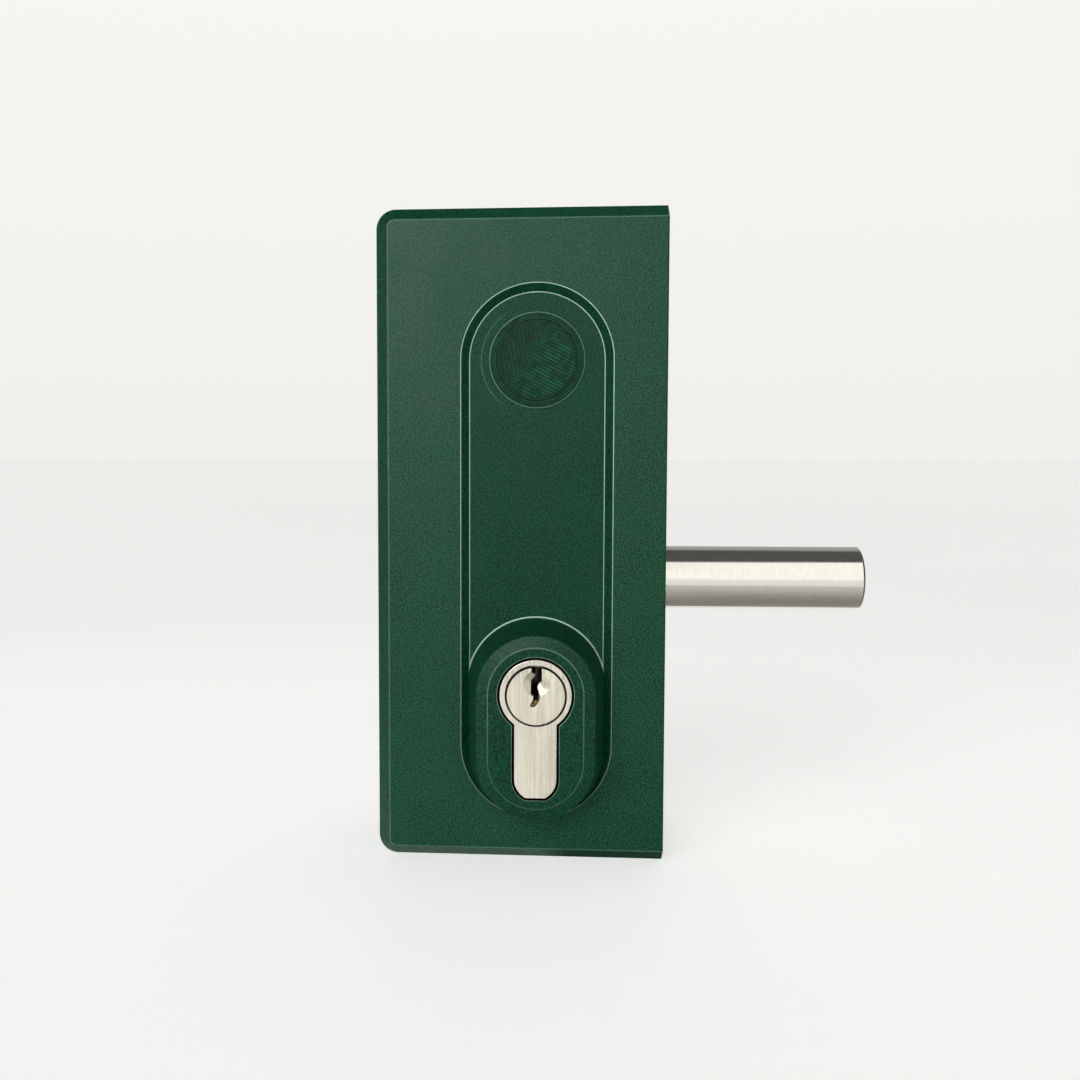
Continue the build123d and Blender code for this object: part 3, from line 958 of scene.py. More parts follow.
def bridge(shape: bmesh.types.BMesh, rings: list[Ring]) -> None:
    """Join closed rings by faces, one ring after the other.

    Args:
        shape: the bmesh that holds them.
        rings: all of one length, apart from those of a single vertex at a pole.
    """
    for low, high in zip(rings, rings[1:]):
        for step in range(max(len(low), len(high))):
            after = step + 1
            corners = [
                low[step % len(low)], low[after % len(low)],
                high[after % len(high)], high[step % len(high)],
            ]
            distinct = list(dict.fromkeys(corners))
            if len(distinct) > 2:
                shape.faces.new(distinct)


def turned(
    name: str, profile: list[tuple[float, float]], place: Matrix, steps: int = 64,
    rims: tuple[int, ...] = (),
) -> bpy.types.Object:
    """Solid of revolution.

    Args:
        name: the object's name.
        profile: radius and height pairs in millimetres, from one end to the other.
        place: where its axis, local Z, goes, in metres.
        steps: faces round.
        rims: profile points that count as an edge, painted lighter as highlight and wear.

    Returns:
        The object.
    """
    shape = bmesh.new()
    rim = shape.verts.layers.float.new("rim")
    rings: list[Ring] = []
    for index, (radius, height) in enumerate(profile):
        ring = []
        for step in range(1 if radius < 1e-6 else steps):
            vert = shape.verts.new(place @ spoke(radius, 2 * math.pi * step / steps, height))
            vert[rim] = 1.0 if index in rims else 0.0
            ring.append(vert)
        rings.append(ring)
    bridge(shape, rings)
    bmesh.ops.recalc_face_normals(shape, faces=shape.faces)
    return write_mesh(name, shape)


def facing(point: Triple, direction: Triple) -> Matrix:
    """Frame at a point, in millimetres, whose local Z looks along a direction."""
    turn = Vector(direction).to_track_quat("Z", "Y").to_matrix().to_4x4()
    return Matrix.Translation(Vector(point) * MM) @ turn


def socket_screw(
    name: str, place: Matrix, head_r: float, shank_r: float, flat: float, depth: float,
    length: float,
) -> bpy.types.Object:
    """Sunk screw with a hexagon socket.

    Args:
        name: the object's name.
        place: frame at the middle of the head's top, local Z outwards.
        head_r, shank_r: radii in millimetres.
        flat: width of the socket across its flats in millimetres.
        depth: depth of the socket in millimetres.
        length: how much of the screw is made, in millimetres.

    Returns:
        The object.
    """
    steps = 48
    shape = bmesh.new()
    rim = shape.verts.layers.float.new("rim")

    def ring(radius: float, height: float, highlight_and_wear: float = 0.0, six_sided: bool = False) -> Ring:
        """Ring of vertices, round or along a hexagon."""
        made = []
        for step in range(steps):
            angle = 2 * math.pi * step / steps
            local = (angle + math.pi / 6) % (math.pi / 3) - math.pi / 6
            out = radius / math.cos(local) if six_sided else radius
            vert = shape.verts.new(place @ spoke(out, angle, height))
            vert[rim] = highlight_and_wear
            made.append(vert)
        return made

    half = flat / 2
    # The rim values on the head's and socket's edges are painted lighter as highlight and wear.
    rings = [
        ring(shank_r - 0.3, -length), ring(shank_r, -length + 0.3),
        ring(shank_r, shank_r - head_r - 0.4), ring(head_r - 0.12, -0.34), ring(head_r, -0.2, 0.6),
        ring(head_r, -0.1, 1.0), ring(head_r - 0.12, 0.0, 0.6), ring(half + 0.16, 0.0, 0.0, True),
        ring(half + 0.06, -0.03, 1.0, True), ring(half, -0.14, 0.4, True),
        ring(half, -depth, 0.0, True),
    ]
    rings.append([shape.verts.new(place @ spoke(0.0, 0.0, -depth - 0.5))])
    bridge(shape, rings)
    shape.faces.new(list(reversed(rings[0])))
    bmesh.ops.recalc_face_normals(shape, faces=shape.faces)
    return write_mesh(name, shape)


def joined(name: str, pieces: list[bpy.types.Object]) -> bpy.types.Object:
    """One object from several meshes that share their settings.

    Args:
        name: the result's name.
        pieces: objects in the row frame, which are deleted.

    Returns:
        The object.
    """
    shape = bmesh.new()
    for piece in pieces:
        shape.from_mesh(piece.data)
        bpy.data.objects.remove(piece)
    return write_mesh(name, shape)


# ---- Sub-assemblies


@dataclass(frozen=True)
class Corner:
    """Corner of a profile, in millimetres.

    Fields:
        out: distance from the axis or the path.
        up: height along the axis.
        ease: radius of the round in the corner.
        highlight_and_wear: strength of the rim along the round, a painted highlight and wear.
    """

    out: float
    up: float
    ease: float = 0.0
    highlight_and_wear: float = 1.0


Profile = list[tuple[float, float, float]]
Path = Callable[[float], list[tuple[float, float]]]


def eased(corners: list[Corner], steps: int = 4) -> Profile:
    """Profile with its corners rounded.

    Args:
        corners: the corners in order.
        steps: faces across each round.

    Returns:
        Distance out, height and rim of each point.
    """
    points: Profile = []
    places = [Vector((corner.out, corner.up)) for corner in corners]
    for index, (corner, here) in enumerate(zip(corners, places)):
        if corner.ease <= 0 or index in (0, len(corners) - 1):
            points.append((corner.out, corner.up, 0.0))
            continue
        before = (places[index - 1] - here).normalized()
        after = (places[index + 1] - here).normalized()
        half = before.angle(after) / 2
        reach = corner.ease / math.tan(half)
        centre = here + (before + after).normalized() * (corner.ease / math.sin(half))
        start, end = here + before * reach - centre, here + after * reach - centre
        turn = start.angle_signed(end)
        for step in range(steps + 1):
            share = step / steps
            point = centre + Matrix.Rotation(-turn * share, 2) @ start
            middle = min(1.0, 1.7 * (1.0 - abs(2 * share - 1)))
            points.append((point.x, point.y, corner.highlight_and_wear * middle))
    return points


def spread(first: float, last: float, steps: int) -> list[float]:
    """Evenly spaced values, both ends included."""
    return [first + (last - first) * step / steps for step in range(steps + 1)]


def arc(radius: float, x: float, z: float, angles: list[float]) -> list[tuple[float, float]]:
    """Points round a centre."""
    return [(x + radius * math.cos(angle), z + radius * math.sin(angle)) for angle in angles]


def slot_path(centre_x: float, top_z: float, low_z: float, steps: int = 56) -> Path:
    """Round-ended path round an upright slot.

    Args:
        centre_x, top_z, low_z: centres of its two ends.
        steps: faces round each end.

    Returns:
        Function from a radius to a ring of x and z.
    """
    def ring(radius: float) -> list[tuple[float, float]]:
        """Ring at one radius."""
        upper = arc(radius, centre_x, top_z, spread(0.0, math.pi, steps))
        return upper + arc(radius, centre_x, low_z, spread(math.pi, 2 * math.pi, steps))

    return ring


def circle_path(centre_x: float, centre_z: float, steps: int = 112) -> Path:
    """Round path.

    Args:
        centre_x, centre_z: its centre.
        steps: faces round it.

    Returns:
        Function from a radius to a ring of x and z.
    """
    def ring(radius: float) -> list[tuple[float, float]]:
        """Ring at one radius."""
        return arc(radius, centre_x, centre_z, spread(0.0, 2 * math.pi, steps)[:-1])

    return ring


def keyhole_path(
    centre_x: float, axis_z: float, round_r: float = 8.5, leg: float = 5.0, bottom: float = 24.5,
    flat: float = 4.6,
) -> Path:
    """Path round the cylinder's section.

    Args:
        centre_x, axis_z: the plug's axis.
        round_r, leg: radius of the round part and half width of the leg.
        bottom, flat: how far below the axis the leg ends, and how wide its flat is.

    Returns:
        Function from a growth to a ring of x and z.
    """
    low = bottom - math.sqrt(leg**2 - (flat / 2) ** 2)

    def ring(grow: float) -> list[tuple[float, float]]:
        """Ring grown by one distance."""
        outer, side = round_r + grow, leg + grow
        meet = math.acos(side / outer)
        shoulder = -outer * math.sin(meet)
        cut = math.asin(min(1.0, (bottom + grow - low) / side))
        points = arc(outer, 0.0, 0.0, spread(-meet, math.pi + meet, 72))
        points += [(-side, z) for z in spread(shoulder, -low, 6)[1:]]
        points += arc(side, 0.0, -low, spread(math.pi, math.pi + cut, 14)[1:])
        points += arc(side, 0.0, -low, spread(-cut, 0.0, 14))
        points += [(side, z) for z in spread(-low, shoulder, 6)[1:-1]]
        return [(centre_x + x, axis_z + z) for x, z in points]

    return ring


class Skin:
    """Surfaces of one side, swept along closed paths in the plane of the case.

    The height of a profile is the distance from the case's middle.
    """

    def __init__(self, side: Side) -> None:
        """Start an empty skin."""
        self.side = side
        self.shape = bmesh.new()
        self.rim = self.shape.verts.layers.float.new("rim")

    def sweep(self, path: Path, profile: Profile) -> tuple[Ring, Ring]:
        """Sweep a profile.

        Args:
            path: function that gives the ring at each distance out.
            profile: from eased().

        Returns:
            The first and the last ring.
        """
        rings = []
        for out, up, highlight_and_wear in profile:
            ring = []
            for x, z in path(out):
                vert = self.shape.verts.new(Vector((x, self.side.value * up, z)) * MM)
                # The rim, a painted highlight, fades towards the case's foot.
                vert[self.rim] = highlight_and_wear * self.strength(vert.co.z / MM)
                ring.append(vert)
            rings.append(ring)
        bridge(self.shape, rings)
        return rings[0], rings[-1]

    @staticmethod
    def strength(height: float) -> float:
        """Painted highlight along an edge: strongest at the top of the case, little at its foot.
        """
        share = min(max((height + 52.0) / 44.0, 0.0), 1.0)
        return 0.3 + 0.7 * share

    def fill(self, *loops: Ring) -> None:
        """Flat face inside the first ring and outside the others."""
        edges = []
        for loop in loops:
            for pair in zip(loop, loop[1:] + loop[:1]):
                edges.append(self.shape.edges.get(pair) or self.shape.edges.new(pair))
        normal = (0.0, float(self.side.value), 0.0)
        bmesh.ops.triangle_fill(
            self.shape, use_beauty=True, use_dissolve=False, edges=edges, normal=normal
        )

    def turn_outwards(self) -> None:
        """Make every face look away from the case's middle."""
        self.shape.normal_update()
        wrong = [face for face in self.shape.faces if face.normal.y * self.side.value < -1e-4]
        bmesh.ops.reverse_faces(self.shape, faces=wrong)


@dataclass
class GateCase:
    """Both halves of the cast case, with the recess, the boss, the blank and the rear's screws.

    Fields:
        finishes: all materials.
        centre_x: middle of the recess and of the cylinder.
        recess_z: upper and lower centres of the recess's ends.
        boss_z: the same for the boss.
        floor_y, face_y, top_y: distances of the recess floor, the face and the boss's flat.
        recess_r: radius of the recess at the face and at its floor.
        boss_r: radii of the boss at its foot, its bevel and its flat.
        bevel_y: where the boss's bevel starts.
        gap: between the cylinder and the opening, below the lip.
        lip_gap: the same along the lip.
        ease, recess_ease: radius of the cast edges, and of the recess's.
        blank_r, blank_height, groove_r: sizes of the blank and of its ring.
        screw_places: x and z of the screws.
    """

    finishes: Finishes
    centre_x: float = -31.0
    recess_z: tuple[float, float] = (54.1, -39.1)
    boss_z: tuple[float, float] = (-24.9, -40.8)
    floor_y: float = 18.15
    face_y: float = 20.0
    top_y: float = 29.9
    bevel_y: float = 29.2
    recess_r: tuple[float, float] = (18.25, 16.25)
    boss_r: tuple[float, float, float] = (16.8, 14.1, 11.3)
    gap: float = 0.35
    lip_gap: float = 0.55
    ease: float = 0.26
    recess_ease: float = 0.40
    blank_r: float = 11.5
    blank_height: float = 0.5
    groove_r: float = 9.7
    screw_places: tuple[tuple[float, float], ...] = ((-60, 80), (-16, 80), (-60, -58), (-16, -60))

    def cover(self, side: Side) -> None:
        """Build one half: the copied casting, then the recess and boss swept over it."""
        node = "front_cover" if side is Side.FRONT else "rear_cover"
        shape = node_shape(node)
        self.open_up(shape, side)
        # Painted highlight: light lines along the casting's rounded edges.
        round_edges(shape, Edging(radius=self.ease, least_angle=11.0, segments=4, highlight_and_wear=0.32))
        self.fit_openings(shape, side)
        casting = write_mesh(f"{side.name.lower()}_casting", shape)
        finish_mesh(casting, self.finishes["green_coat"], "case", (node,))
        self.recess(side)
        self.blank(side)

    def reach(self, point: Vector, ends: tuple[float, float]) -> float:
        """Distance in millimetres from the line between two centres."""
        level = min(max(point.z, ends[1]), ends[0])
        return math.hypot(point.x - self.centre_x, point.z - level)

    def open_up(self, shape: bmesh.types.BMesh, side: Side) -> None:
        """Take the plain recess, boss, blank and the opening's outer walls out of the copy."""
        gone = []
        for face in shape.faces:
            middle = face.calc_center_median() / MM
            depth = side.value * middle.y
            heights = [side.value * vert.co.y / MM for vert in face.verts]
            on_face = all(abs(height - self.face_y) < 0.01 for height in heights)
            if depth < self.face_y - 4.0 or on_face:
                continue
            sloping = abs(face.normal.y) > 0.05
            in_recess = self.reach(middle, self.recess_z) < self.recess_r[0] + 0.05
            in_boss = self.reach(middle, self.boss_z) < self.boss_r[0] + 0.6
            off_blank = math.hypot(middle.x - self.centre_x, middle.z - self.recess_z[0])
            in_blank = off_blank < self.blank_r + 0.1
            in_opening = not sloping and self.reach(middle, self.boss_z) < self.boss_r[2]
            if (sloping and (in_recess or in_boss)) or (in_recess and in_blank) or in_opening:
                gone.append(face)
        bmesh.ops.delete(shape, geom=gone, context="FACES")

    def fit_openings(self, shape: bmesh.types.BMesh, side: Side) -> None:
        """Move the copy's open edges to where the swept surfaces start."""
        for vert in shape.verts:
            point = vert.co / MM
            height = side.value * point.y
            reach = self.reach(point, self.recess_z)
            if abs(height - self.face_y) < 0.01 and abs(reach - self.recess_r[0]) < 0.06:
                level = min(max(point.z, self.recess_z[1]), self.recess_z[0])
                away = Vector((point.x - self.centre_x, 0, point.z - level)).normalized()
                vert.co = (point + away * self.recess_ease * 0.41) * MM

    def recess(self, side: Side) -> None:
        """Sweep the recess, its floor, the boss and the lip round the cylinder."""
        skin = Skin(side)
        slot = slot_path(self.centre_x, *self.recess_z)
        boss = slot_path(self.centre_x, *self.boss_z)
        keyhole = keyhole_path(self.centre_x, self.boss_z[0])
        upper, lower = self.recess_r
        # Painted highlight: light lines along the recess's edge at the face and at its floor.
        wall = eased([
            Corner(upper + 0.6, self.face_y),
            Corner(upper, self.face_y, self.recess_ease),
            Corner(lower, self.floor_y, self.recess_ease),
            Corner(lower - 0.6, self.floor_y),
        ])
        _, floor_edge = skin.sweep(slot, wall[1:])
        hidden = [(self.gap, self.floor_y, 0.0), (self.gap, self.floor_y - 0.5, 0.0)]
        hidden_edge, _ = skin.sweep(keyhole, hidden)
        skin.fill(floor_edge, hidden_edge)
        foot, edge, flat = self.boss_r
        # Painted highlight: a light line at the boss's foot and a fainter one at its flat.
        slope = eased([
            Corner(foot + 0.7, self.floor_y + 0.004),
            Corner(foot, self.floor_y + 0.004, 0.42),
            Corner(edge, self.bevel_y, self.ease * 1.5, 0.0),
            Corner(flat, self.top_y, self.ease * 6, 0.26),
            Corner(flat - 0.5, self.top_y),
        ])
        # Painted highlight: the bevel ring between the flat and the edge is lightened a little.
        slope = [
            (out, up, max(highlight_and_wear, 0.012) if flat < out < edge else highlight_and_wear) for out, up, highlight_and_wear in slope
        ]
        _, flat_edge = skin.sweep(boss, slope[1:])
        # Painted highlight: a light line along the lip round the cylinder.
        lip = eased([
            Corner(self.lip_gap, self.top_y - 13.0),
            Corner(self.lip_gap, self.top_y, 0.16, 0.8),
            Corner(self.lip_gap + 0.3, self.top_y),
        ])
        _, lip_edge = skin.sweep(keyhole, lip)
        skin.fill(flat_edge, lip_edge)
        skin.turn_outwards()
        piece = write_mesh(f"{side.name.lower()}_recess", skin.shape)
        finish_mesh(piece, self.finishes["green_coat_recess"], "case")

    def blank(self, side: Side) -> None:
        """Turned blank: rounded rim, ring groove and a flat middle."""
        top, ring = self.floor_y + self.blank_height, self.groove_r
        skin = Skin(side)
        path = circle_path(self.centre_x, self.recess_z[0])
        # Painted highlight: light rims on the blank's edge and on both sides of its groove.
        profile = eased([
            Corner(self.blank_r, self.floor_y - 0.4),
            Corner(self.blank_r, top, 0.2),
            Corner(ring + 0.3, top, 0.08, 0.3),
            Corner(ring + 0.12, top - 0.17, 0.05, 0.0),
            Corner(ring - 0.12, top - 0.17, 0.05, 0.0),
            Corner(ring - 0.3, top, 0.08, 0.3),
            Corner(ring - 1.5, top),
        ])
        _, inner = skin.sweep(path, profile)
        skin.fill(inner)
        skin.turn_outwards()
        piece = write_mesh(f"{side.name.lower()}_blank", skin.shape)
        finish_mesh(piece, self.finishes["green_coat_milled"], "case")

    def screws(self) -> None:
        """Four sunk socket screws in the rear cover."""
        made = []
        for index, (x, z) in enumerate(self.screw_places):
            place = facing((x, self.face_y - 0.2, z), (0, 1, 0))
            made.append(socket_screw(f"screw_{index}", place, 4.75, 2.48, 3.0, 2.4, 28.0))
        piece = joined("case_screws", made)
        slot = "screw_stainless"
        finish_mesh(piece, self.finishes[slot], "case", ("cover_screws",))

    def build(self) -> None:
        """Build the whole case."""
        for side in Side:
            self.cover(side)
        self.screws()


@dataclass
class MountingSide:
    """Plate, fixing inserts, bush and cylinder screw on the side that meets the gate.

    Fields:
        finishes: all materials.
        fix_z: fixings above and below the bolt.
        insert_r, thread_r: radii of an insert and of its thread.
        thread_pitch, thread_depth: sizes of the thread.
        screw_z: height of the cylinder screw.
        bush_r, flange_r, bore_r: radii of the bush, of its flange and of its bore.
    """

    finishes: Finishes
    fix_z: float = 56.0
    insert_r: float = 5.98
    thread_r: float = 4.0
    thread_pitch: float = 1.25
    thread_depth: float = 0.45
    screw_z: float = -44.9
    bush_r: float = 9.98
    flange_r: float = 11.95
    bore_r: float = 8.05

    def plate(self) -> None:
        """Brushed plate with eased edges."""
        piece = edged_copy("edge_plate", "mounting_plate", Edging(radius=0.25, least_angle=20.0))
        finish_mesh(piece, self.finishes["stainless"], "case", ("edge_plate",))

    def inserts(self) -> None:
        """Inserts with a cut thread, as rings at the thread's pitch."""
        outer, inner = self.insert_r, self.thread_r
        profile = [
            (outer - 0.9, -9.9), (outer, -9.0), (outer, -0.25), (outer - 0.25, -0.02),
            (inner + 0.55, -0.02),
        ]
        height = -0.5
        while height > -9.2:
            root = (inner + self.thread_depth, height - 0.62)
            profile += [(inner, height), (inner, height - 0.2), root]
            height -= self.thread_pitch
        profile += [(inner + 0.1, -9.9), (outer - 0.9, -9.9)]
        made = []
        for index, z in enumerate((self.fix_z, -self.fix_z)):
            place = facing((0, 0, z), (1, 0, 0))
            made.append(turned(f"insert_{index}", profile, place, 48, rims=(3, 4)))
            nut = bmesh.new()
            sizes = {"radius1": 7.5 * MM, "radius2": 7.5 * MM, "depth": 4.8 * MM}
            bmesh.ops.create_cone(nut, cap_ends=False, segments=6, **sizes)
            place = facing((-7.55, 0, z), (1, 0, 0)) @ Matrix.Rotation(math.pi / 6, 4, "Z")
            bmesh.ops.transform(nut, matrix=place, verts=nut.verts)
            made.append(write_mesh(f"nut_{index}", nut))
        piece = joined("threaded_inserts", made)
        finish_mesh(piece, self.finishes["zinc_steel"], "case", ("fixing_inserts",))

    def bush(self) -> None:
        """Sintered bush with a lead-in round the bolt."""
        outer, flange, bore = self.bush_r, self.flange_r, self.bore_r
        profile = [
            (bore, -7.98), (flange - 0.25, -7.98), (flange, -7.7), (flange, -5.2), (outer, -5.2),
            (outer, -0.25), (outer - 0.2, -0.03), (bore + 0.45, -0.03), (bore + 0.1, -0.35),
            (bore, -0.6), (bore, -7.98),
        ]
        piece = turned("sintered_bush", profile, facing((0, 0, 0), (1, 0, 0)), 72, rims=(6, 7))
        finish_mesh(piece, self.finishes["bronze"], "case", ("bolt_bush",))

    def screw(self) -> None:
        """The long screw that holds the cylinder."""
        place = facing((-0.2, 0, self.screw_z), (1, 0, 0))
        piece = socket_screw("cylinder_fixing_screw", place, 4.55, 2.48, 3.0, 2.2, 35.6)
        finish_mesh(piece, self.finishes["zinc_steel"], "case", ("cylinder_screw",))

    def build(self) -> None:
        """Build every piece of the side."""
        self.plate()
        self.inserts()
        self.bush()
        self.screw()


@dataclass
class SlidingBolt:
    """The round bolt; its tail keeps the CAD shape, inside the case.

    Fields:
        finishes: all materials.
    """

    finishes: Finishes

    def build(self) -> None:
        """Bolt with eased gates and chamfers."""
        piece = edged_copy("bolt", "round_bolt", Edging(radius=0.09, least_angle=20.0, segments=2))
        slot = "stainless_bar"
        finish_mesh(piece, self.finishes[slot], "sliding_bolt", ("bolt",))


@dataclass
class ProfileCylinder:
    """Cylinder body, both plugs and the pins.

    Fields:
        finishes: all materials.
        axis_x, axis_z: the plugs' axis.
        face_r: radius of the plug's face.
        pin_r: radius of a pin.
        first_pin, pitch, count: where the pins stand, from the middle outwards.
    """

    finishes: Finishes
    axis_x: float = -31.0
    axis_z: float = -24.9
    face_r: float = 7.0
    pin_r: float = 1.4
    first_pin: float = 24.5
    pitch: float = 4.0
    count: int = 5

    def shell(self) -> None:
        """Body with crisp, slightly broken edges."""
        edging = Edging(radius=0.16, least_angle=24.0, small_face=6.0, segments=2)
        piece = edged_copy("cylinder_body", "cylinder_shell", edging)
        slot = "satin_nickel"
        finish_mesh(piece, self.finishes[slot], "case", ("cylinder_body",))

    def plugs(self) -> None:
        """Plugs with the keyway's edges broken."""
        circle = (self.axis_x, self.axis_z, self.face_r)
        brim = Edging(radius=0.24, least_angle=30.0, small_face=0.0, highlight_and_wear=0.2, reach=circle)
        keyway = Edging(radius=0.07, least_angle=30.0, small_face=4.0, segments=2)
        slot = "satin_nickel_plug"
        for node in ("front_plug", "rear_plug"):
            piece = edged_copy(node, f"{node}_keyed", brim, keyway)
            finish_mesh(piece, self.finishes[slot], "key_core", (node,))

    def pins(self) -> None:
        """Turned key pins with rounded tips."""
        radius = self.pin_r
        profile = [
            (0.0, 0.0), (radius - 0.25, 0.0), (radius, 0.25), (radius, 3.75), (radius - 0.12, 4.1),
            (radius - 0.42, 4.5), (radius - 0.85, 4.8), (0.3, 4.88), (0.0, 4.9),
        ]
        made = []
        for side in Side:
            for index in range(self.count):
                y = side.value * (self.first_pin - self.pitch * index)
                place = facing((self.axis_x, y, self.axis_z - 6.25), (0, 0, 1))
                made.append(turned(f"pin_{side.name}_{index}", profile, place, 20, rims=(2,)))
        piece = joined("turned_key_pins", made)
        finish_mesh(piece, self.finishes["pin_brass"], "key_core", ("key_pins",))

    def build(self) -> None:
        """Build the cylinder."""
        self.shell()
        self.plugs()
        self.pins()


@dataclass
class Works:
    """Everything inside the case that keeps its CAD shape.

    Fields:
        finishes: all materials.
    """

    finishes: Finishes

    def build(self) -> None:
        """Give every node that still shows the finish of its slot in the record."""
        subparts = frame["record"].get("subparts", [])
        slots = {part["node"]: part["material_slot"] for part in subparts}
        for name, node in frame["nodes"].items():
            if node.hide_render:
                continue
            material = self.finishes[slots[name]]
            if not node.material_slots:
                node.data.materials.append(material)
            for place in node.material_slots:
                place.material = material
            log.info("node %s keeps its shape, in %s", name, material.name)


# ---- Studio


@dataclass(frozen=True)
class SoftBox:
    """A large lamp.

    Fields:
        name: its name.
        place: where it stands, in metres.
        aim: what it looks at.
        size: width and height in metres.
        power: in watts.
        only: collection that it lights, where it gives gloss and nothing else, or None.
    """

    name: str
    place: Triple
    aim: Triple
    size: tuple[float, float]
    power: float
    only: str | None = None

    def build(self) -> None:
        """Put the lamp in the scene; the world gives its reflection in metal."""
        data = bpy.data.lights.new(self.name, "AREA")
        data.shape = "RECTANGLE"
        data.size, data.size_y = self.size
        data.energy = self.power
        lamp = bpy.data.objects.new(self.name, data)
        bpy.context.scene.collection.objects.link(lamp)
        lamp.visible_camera = False
        lamp.visible_glossy = self.only is not None
        if self.only is not None:
            lamp.visible_diffuse = False
            lamp.light_linking.receiver_collection = bpy.data.collections[self.only]
        lamp.location = self.place
        towards = Vector(self.aim) - Vector(self.place)
        lamp.rotation_euler = towards.to_track_quat("-Z", "Y").to_euler()


@dataclass(frozen=True)
class Floor:
    """Wide pale floor that keeps the shadow, with a white card that only glossy rays see.

    All places are in metres, on the floor, measured from the origin.

    Fields:
        height: where the case stands, in millimetres.
        half_width: half of the floor's side.
        paper: its two tones under the lock.
        distant: its tone far away.
        lift: light that the floor adds to what the camera sees of it, near and far.
        lamp_y: where the window lamp lights the floor most, so that it lifts less.
        bright_y: where the floor would clip to white from behind, so that it is seen darker.
        dimmed: how dark it is seen there, on the left and on the right.
        card_x, card_half: middle of the card, and its half sizes on X and Y.
        card_end: Y where the card stops, behind the lock.
        card_greys: tones of the card under the lock and at its front.
        beyond_card: tone that glossy rays see outside the card.
        card_glow, beyond_glow: most light that glossy rays see from the card and outside it.
        gloss: specular level near the lock.
    """

    height: float = -68.1
    half_width: float = 6.0
    paper: tuple[Colour, Colour] = ((0.76, 0.76, 0.755), (0.79, 0.79, 0.785))
    distant: Colour = (0.93, 0.93, 0.92)
    lift: tuple[float, float] = (0.545, 0.485)
    lamp_y: float = -2.0
    bright_y: float = -3.4
    dimmed: tuple[Colour, Colour] = ((0.64, 0.64, 0.64), (0.8, 0.8, 0.8))
    card_x: float = 0.045
    card_half: tuple[float, float] = (0.07, 0.165)
    card_end: tuple[float, float] = (0.03, 0.06)
    card_greys: tuple[Colour, Colour] = ((0.52, 0.5, 0.47), (1.0, 0.98, 0.935))
    beyond_card: Colour = (0.95, 0.95, 0.94)
    card_glow: float = 0.13
    beyond_glow: float = 0.36
    gloss: float = 0.15

    def build(self) -> None:
        """Put the floor in the scene."""
        shape = bmesh.new()
        bmesh.ops.create_grid(shape, x_segments=1, y_segments=1, size=self.half_width)
        mesh = bpy.data.meshes.new("studio_floor")
        shape.to_mesh(mesh)
        shape.free()
        floor = link_mesh("studio_floor", mesh)
        floor.location = (0.0, 0.0, self.height * MM)
        floor.data.materials.append(self.material())

    def material(self) -> bpy.types.Material:
        """Write the paper.

        Returns:
            The material.
        """
        material = bpy.data.materials.new("studio_floor")
        material.use_nodes = True
        shader = material.node_tree.nodes["Principled BSDF"]
        nodes = Nodes(material.node_tree)
        where = nodes.place()
        x, y, _ = nodes.axes(where)
        measure = nodes.add("VectorMath", operation="LENGTH")
        nodes.put(measure.inputs[0], where)
        distance = measure.outputs["Value"]
        rays = nodes.add("LightPath").outputs
        before = nodes.math("DIVIDE", nodes.math("ABSOLUTE", y), self.card_half[1])
        card = self.off_card(nodes, x, y, before)

        paper = nodes.mix(nodes.remap(nodes.noise(where, 3.0), 0.3, 0.7), *self.paper)
        paper = nodes.mix(nodes.remap(distance, 0.5, 3.5), paper, self.distant)
        dimmest = nodes.mix(nodes.remap(x, -1.2, 0.3), *self.dimmed)
        bright = nodes.remap(nodes.away(y, self.bright_y), 0.3, 1.6)
        seen = nodes.mix(1.0, paper, nodes.mix(bright, dimmest, (1.0, 1.0, 1.0)), "MULTIPLY")
        seen = nodes.mix(rays["Is Camera Ray"], paper, seen)
        greys = nodes.mix(nodes.remap(before, 0.0, 0.52), *self.card_greys)
        mirrored = nodes.mix(nodes.remap(card, 0.96, 1.08), greys, self.beyond_card)
        nodes.put(shader.inputs["Base Color"], nodes.mix(rays["Is Glossy Ray"], seen, mirrored))

        lift = nodes.remap(distance, 0.1, 0.5, *self.lift)
        lift = nodes.times(lift, nodes.remap(nodes.away(y, self.lamp_y), 0.5, 2.0, 0.5, 1.0))
        lift = nodes.math("ADD", lift, nodes.remap(y, -4.2, -2.4, 0.05, 0.0))
        lift = nodes.times(rays["Is Camera Ray"], lift)
        glow = nodes.times(rays["Is Glossy Ray"], self.glow(nodes, x, y, card))
        nodes.put(shader.inputs["Emission Color"], (1.0, 1.0, 0.985))
        nodes.put(shader.inputs["Emission Strength"], nodes.math("ADD", lift, glow))
        shader.inputs["Roughness"].default_value = 0.65
        gloss = nodes.remap(y, -0.9, -0.4, 0.0, self.gloss)
        nodes.put(shader.inputs["Specular IOR Level"], gloss)
        return material

    def off_card(self, nodes: Nodes, x: Socket, y: Socket, before: Socket) -> Socket:
        """How far a place is from the card's middle; the card ends at 1.

        Args:
            nodes: writer of the material.
            x, y: the place.
            before: its distance forwards, as a share of the card's half size.

        Returns:
            The distance's socket.
        """
        beside = nodes.math("DIVIDE", nodes.away(x, self.card_x), self.card_half[0])
        card = nodes.math("MAXIMUM", beside, before)
        return nodes.math("MAXIMUM", card, nodes.remap(y, *self.card_end, 0.0, 2.0))

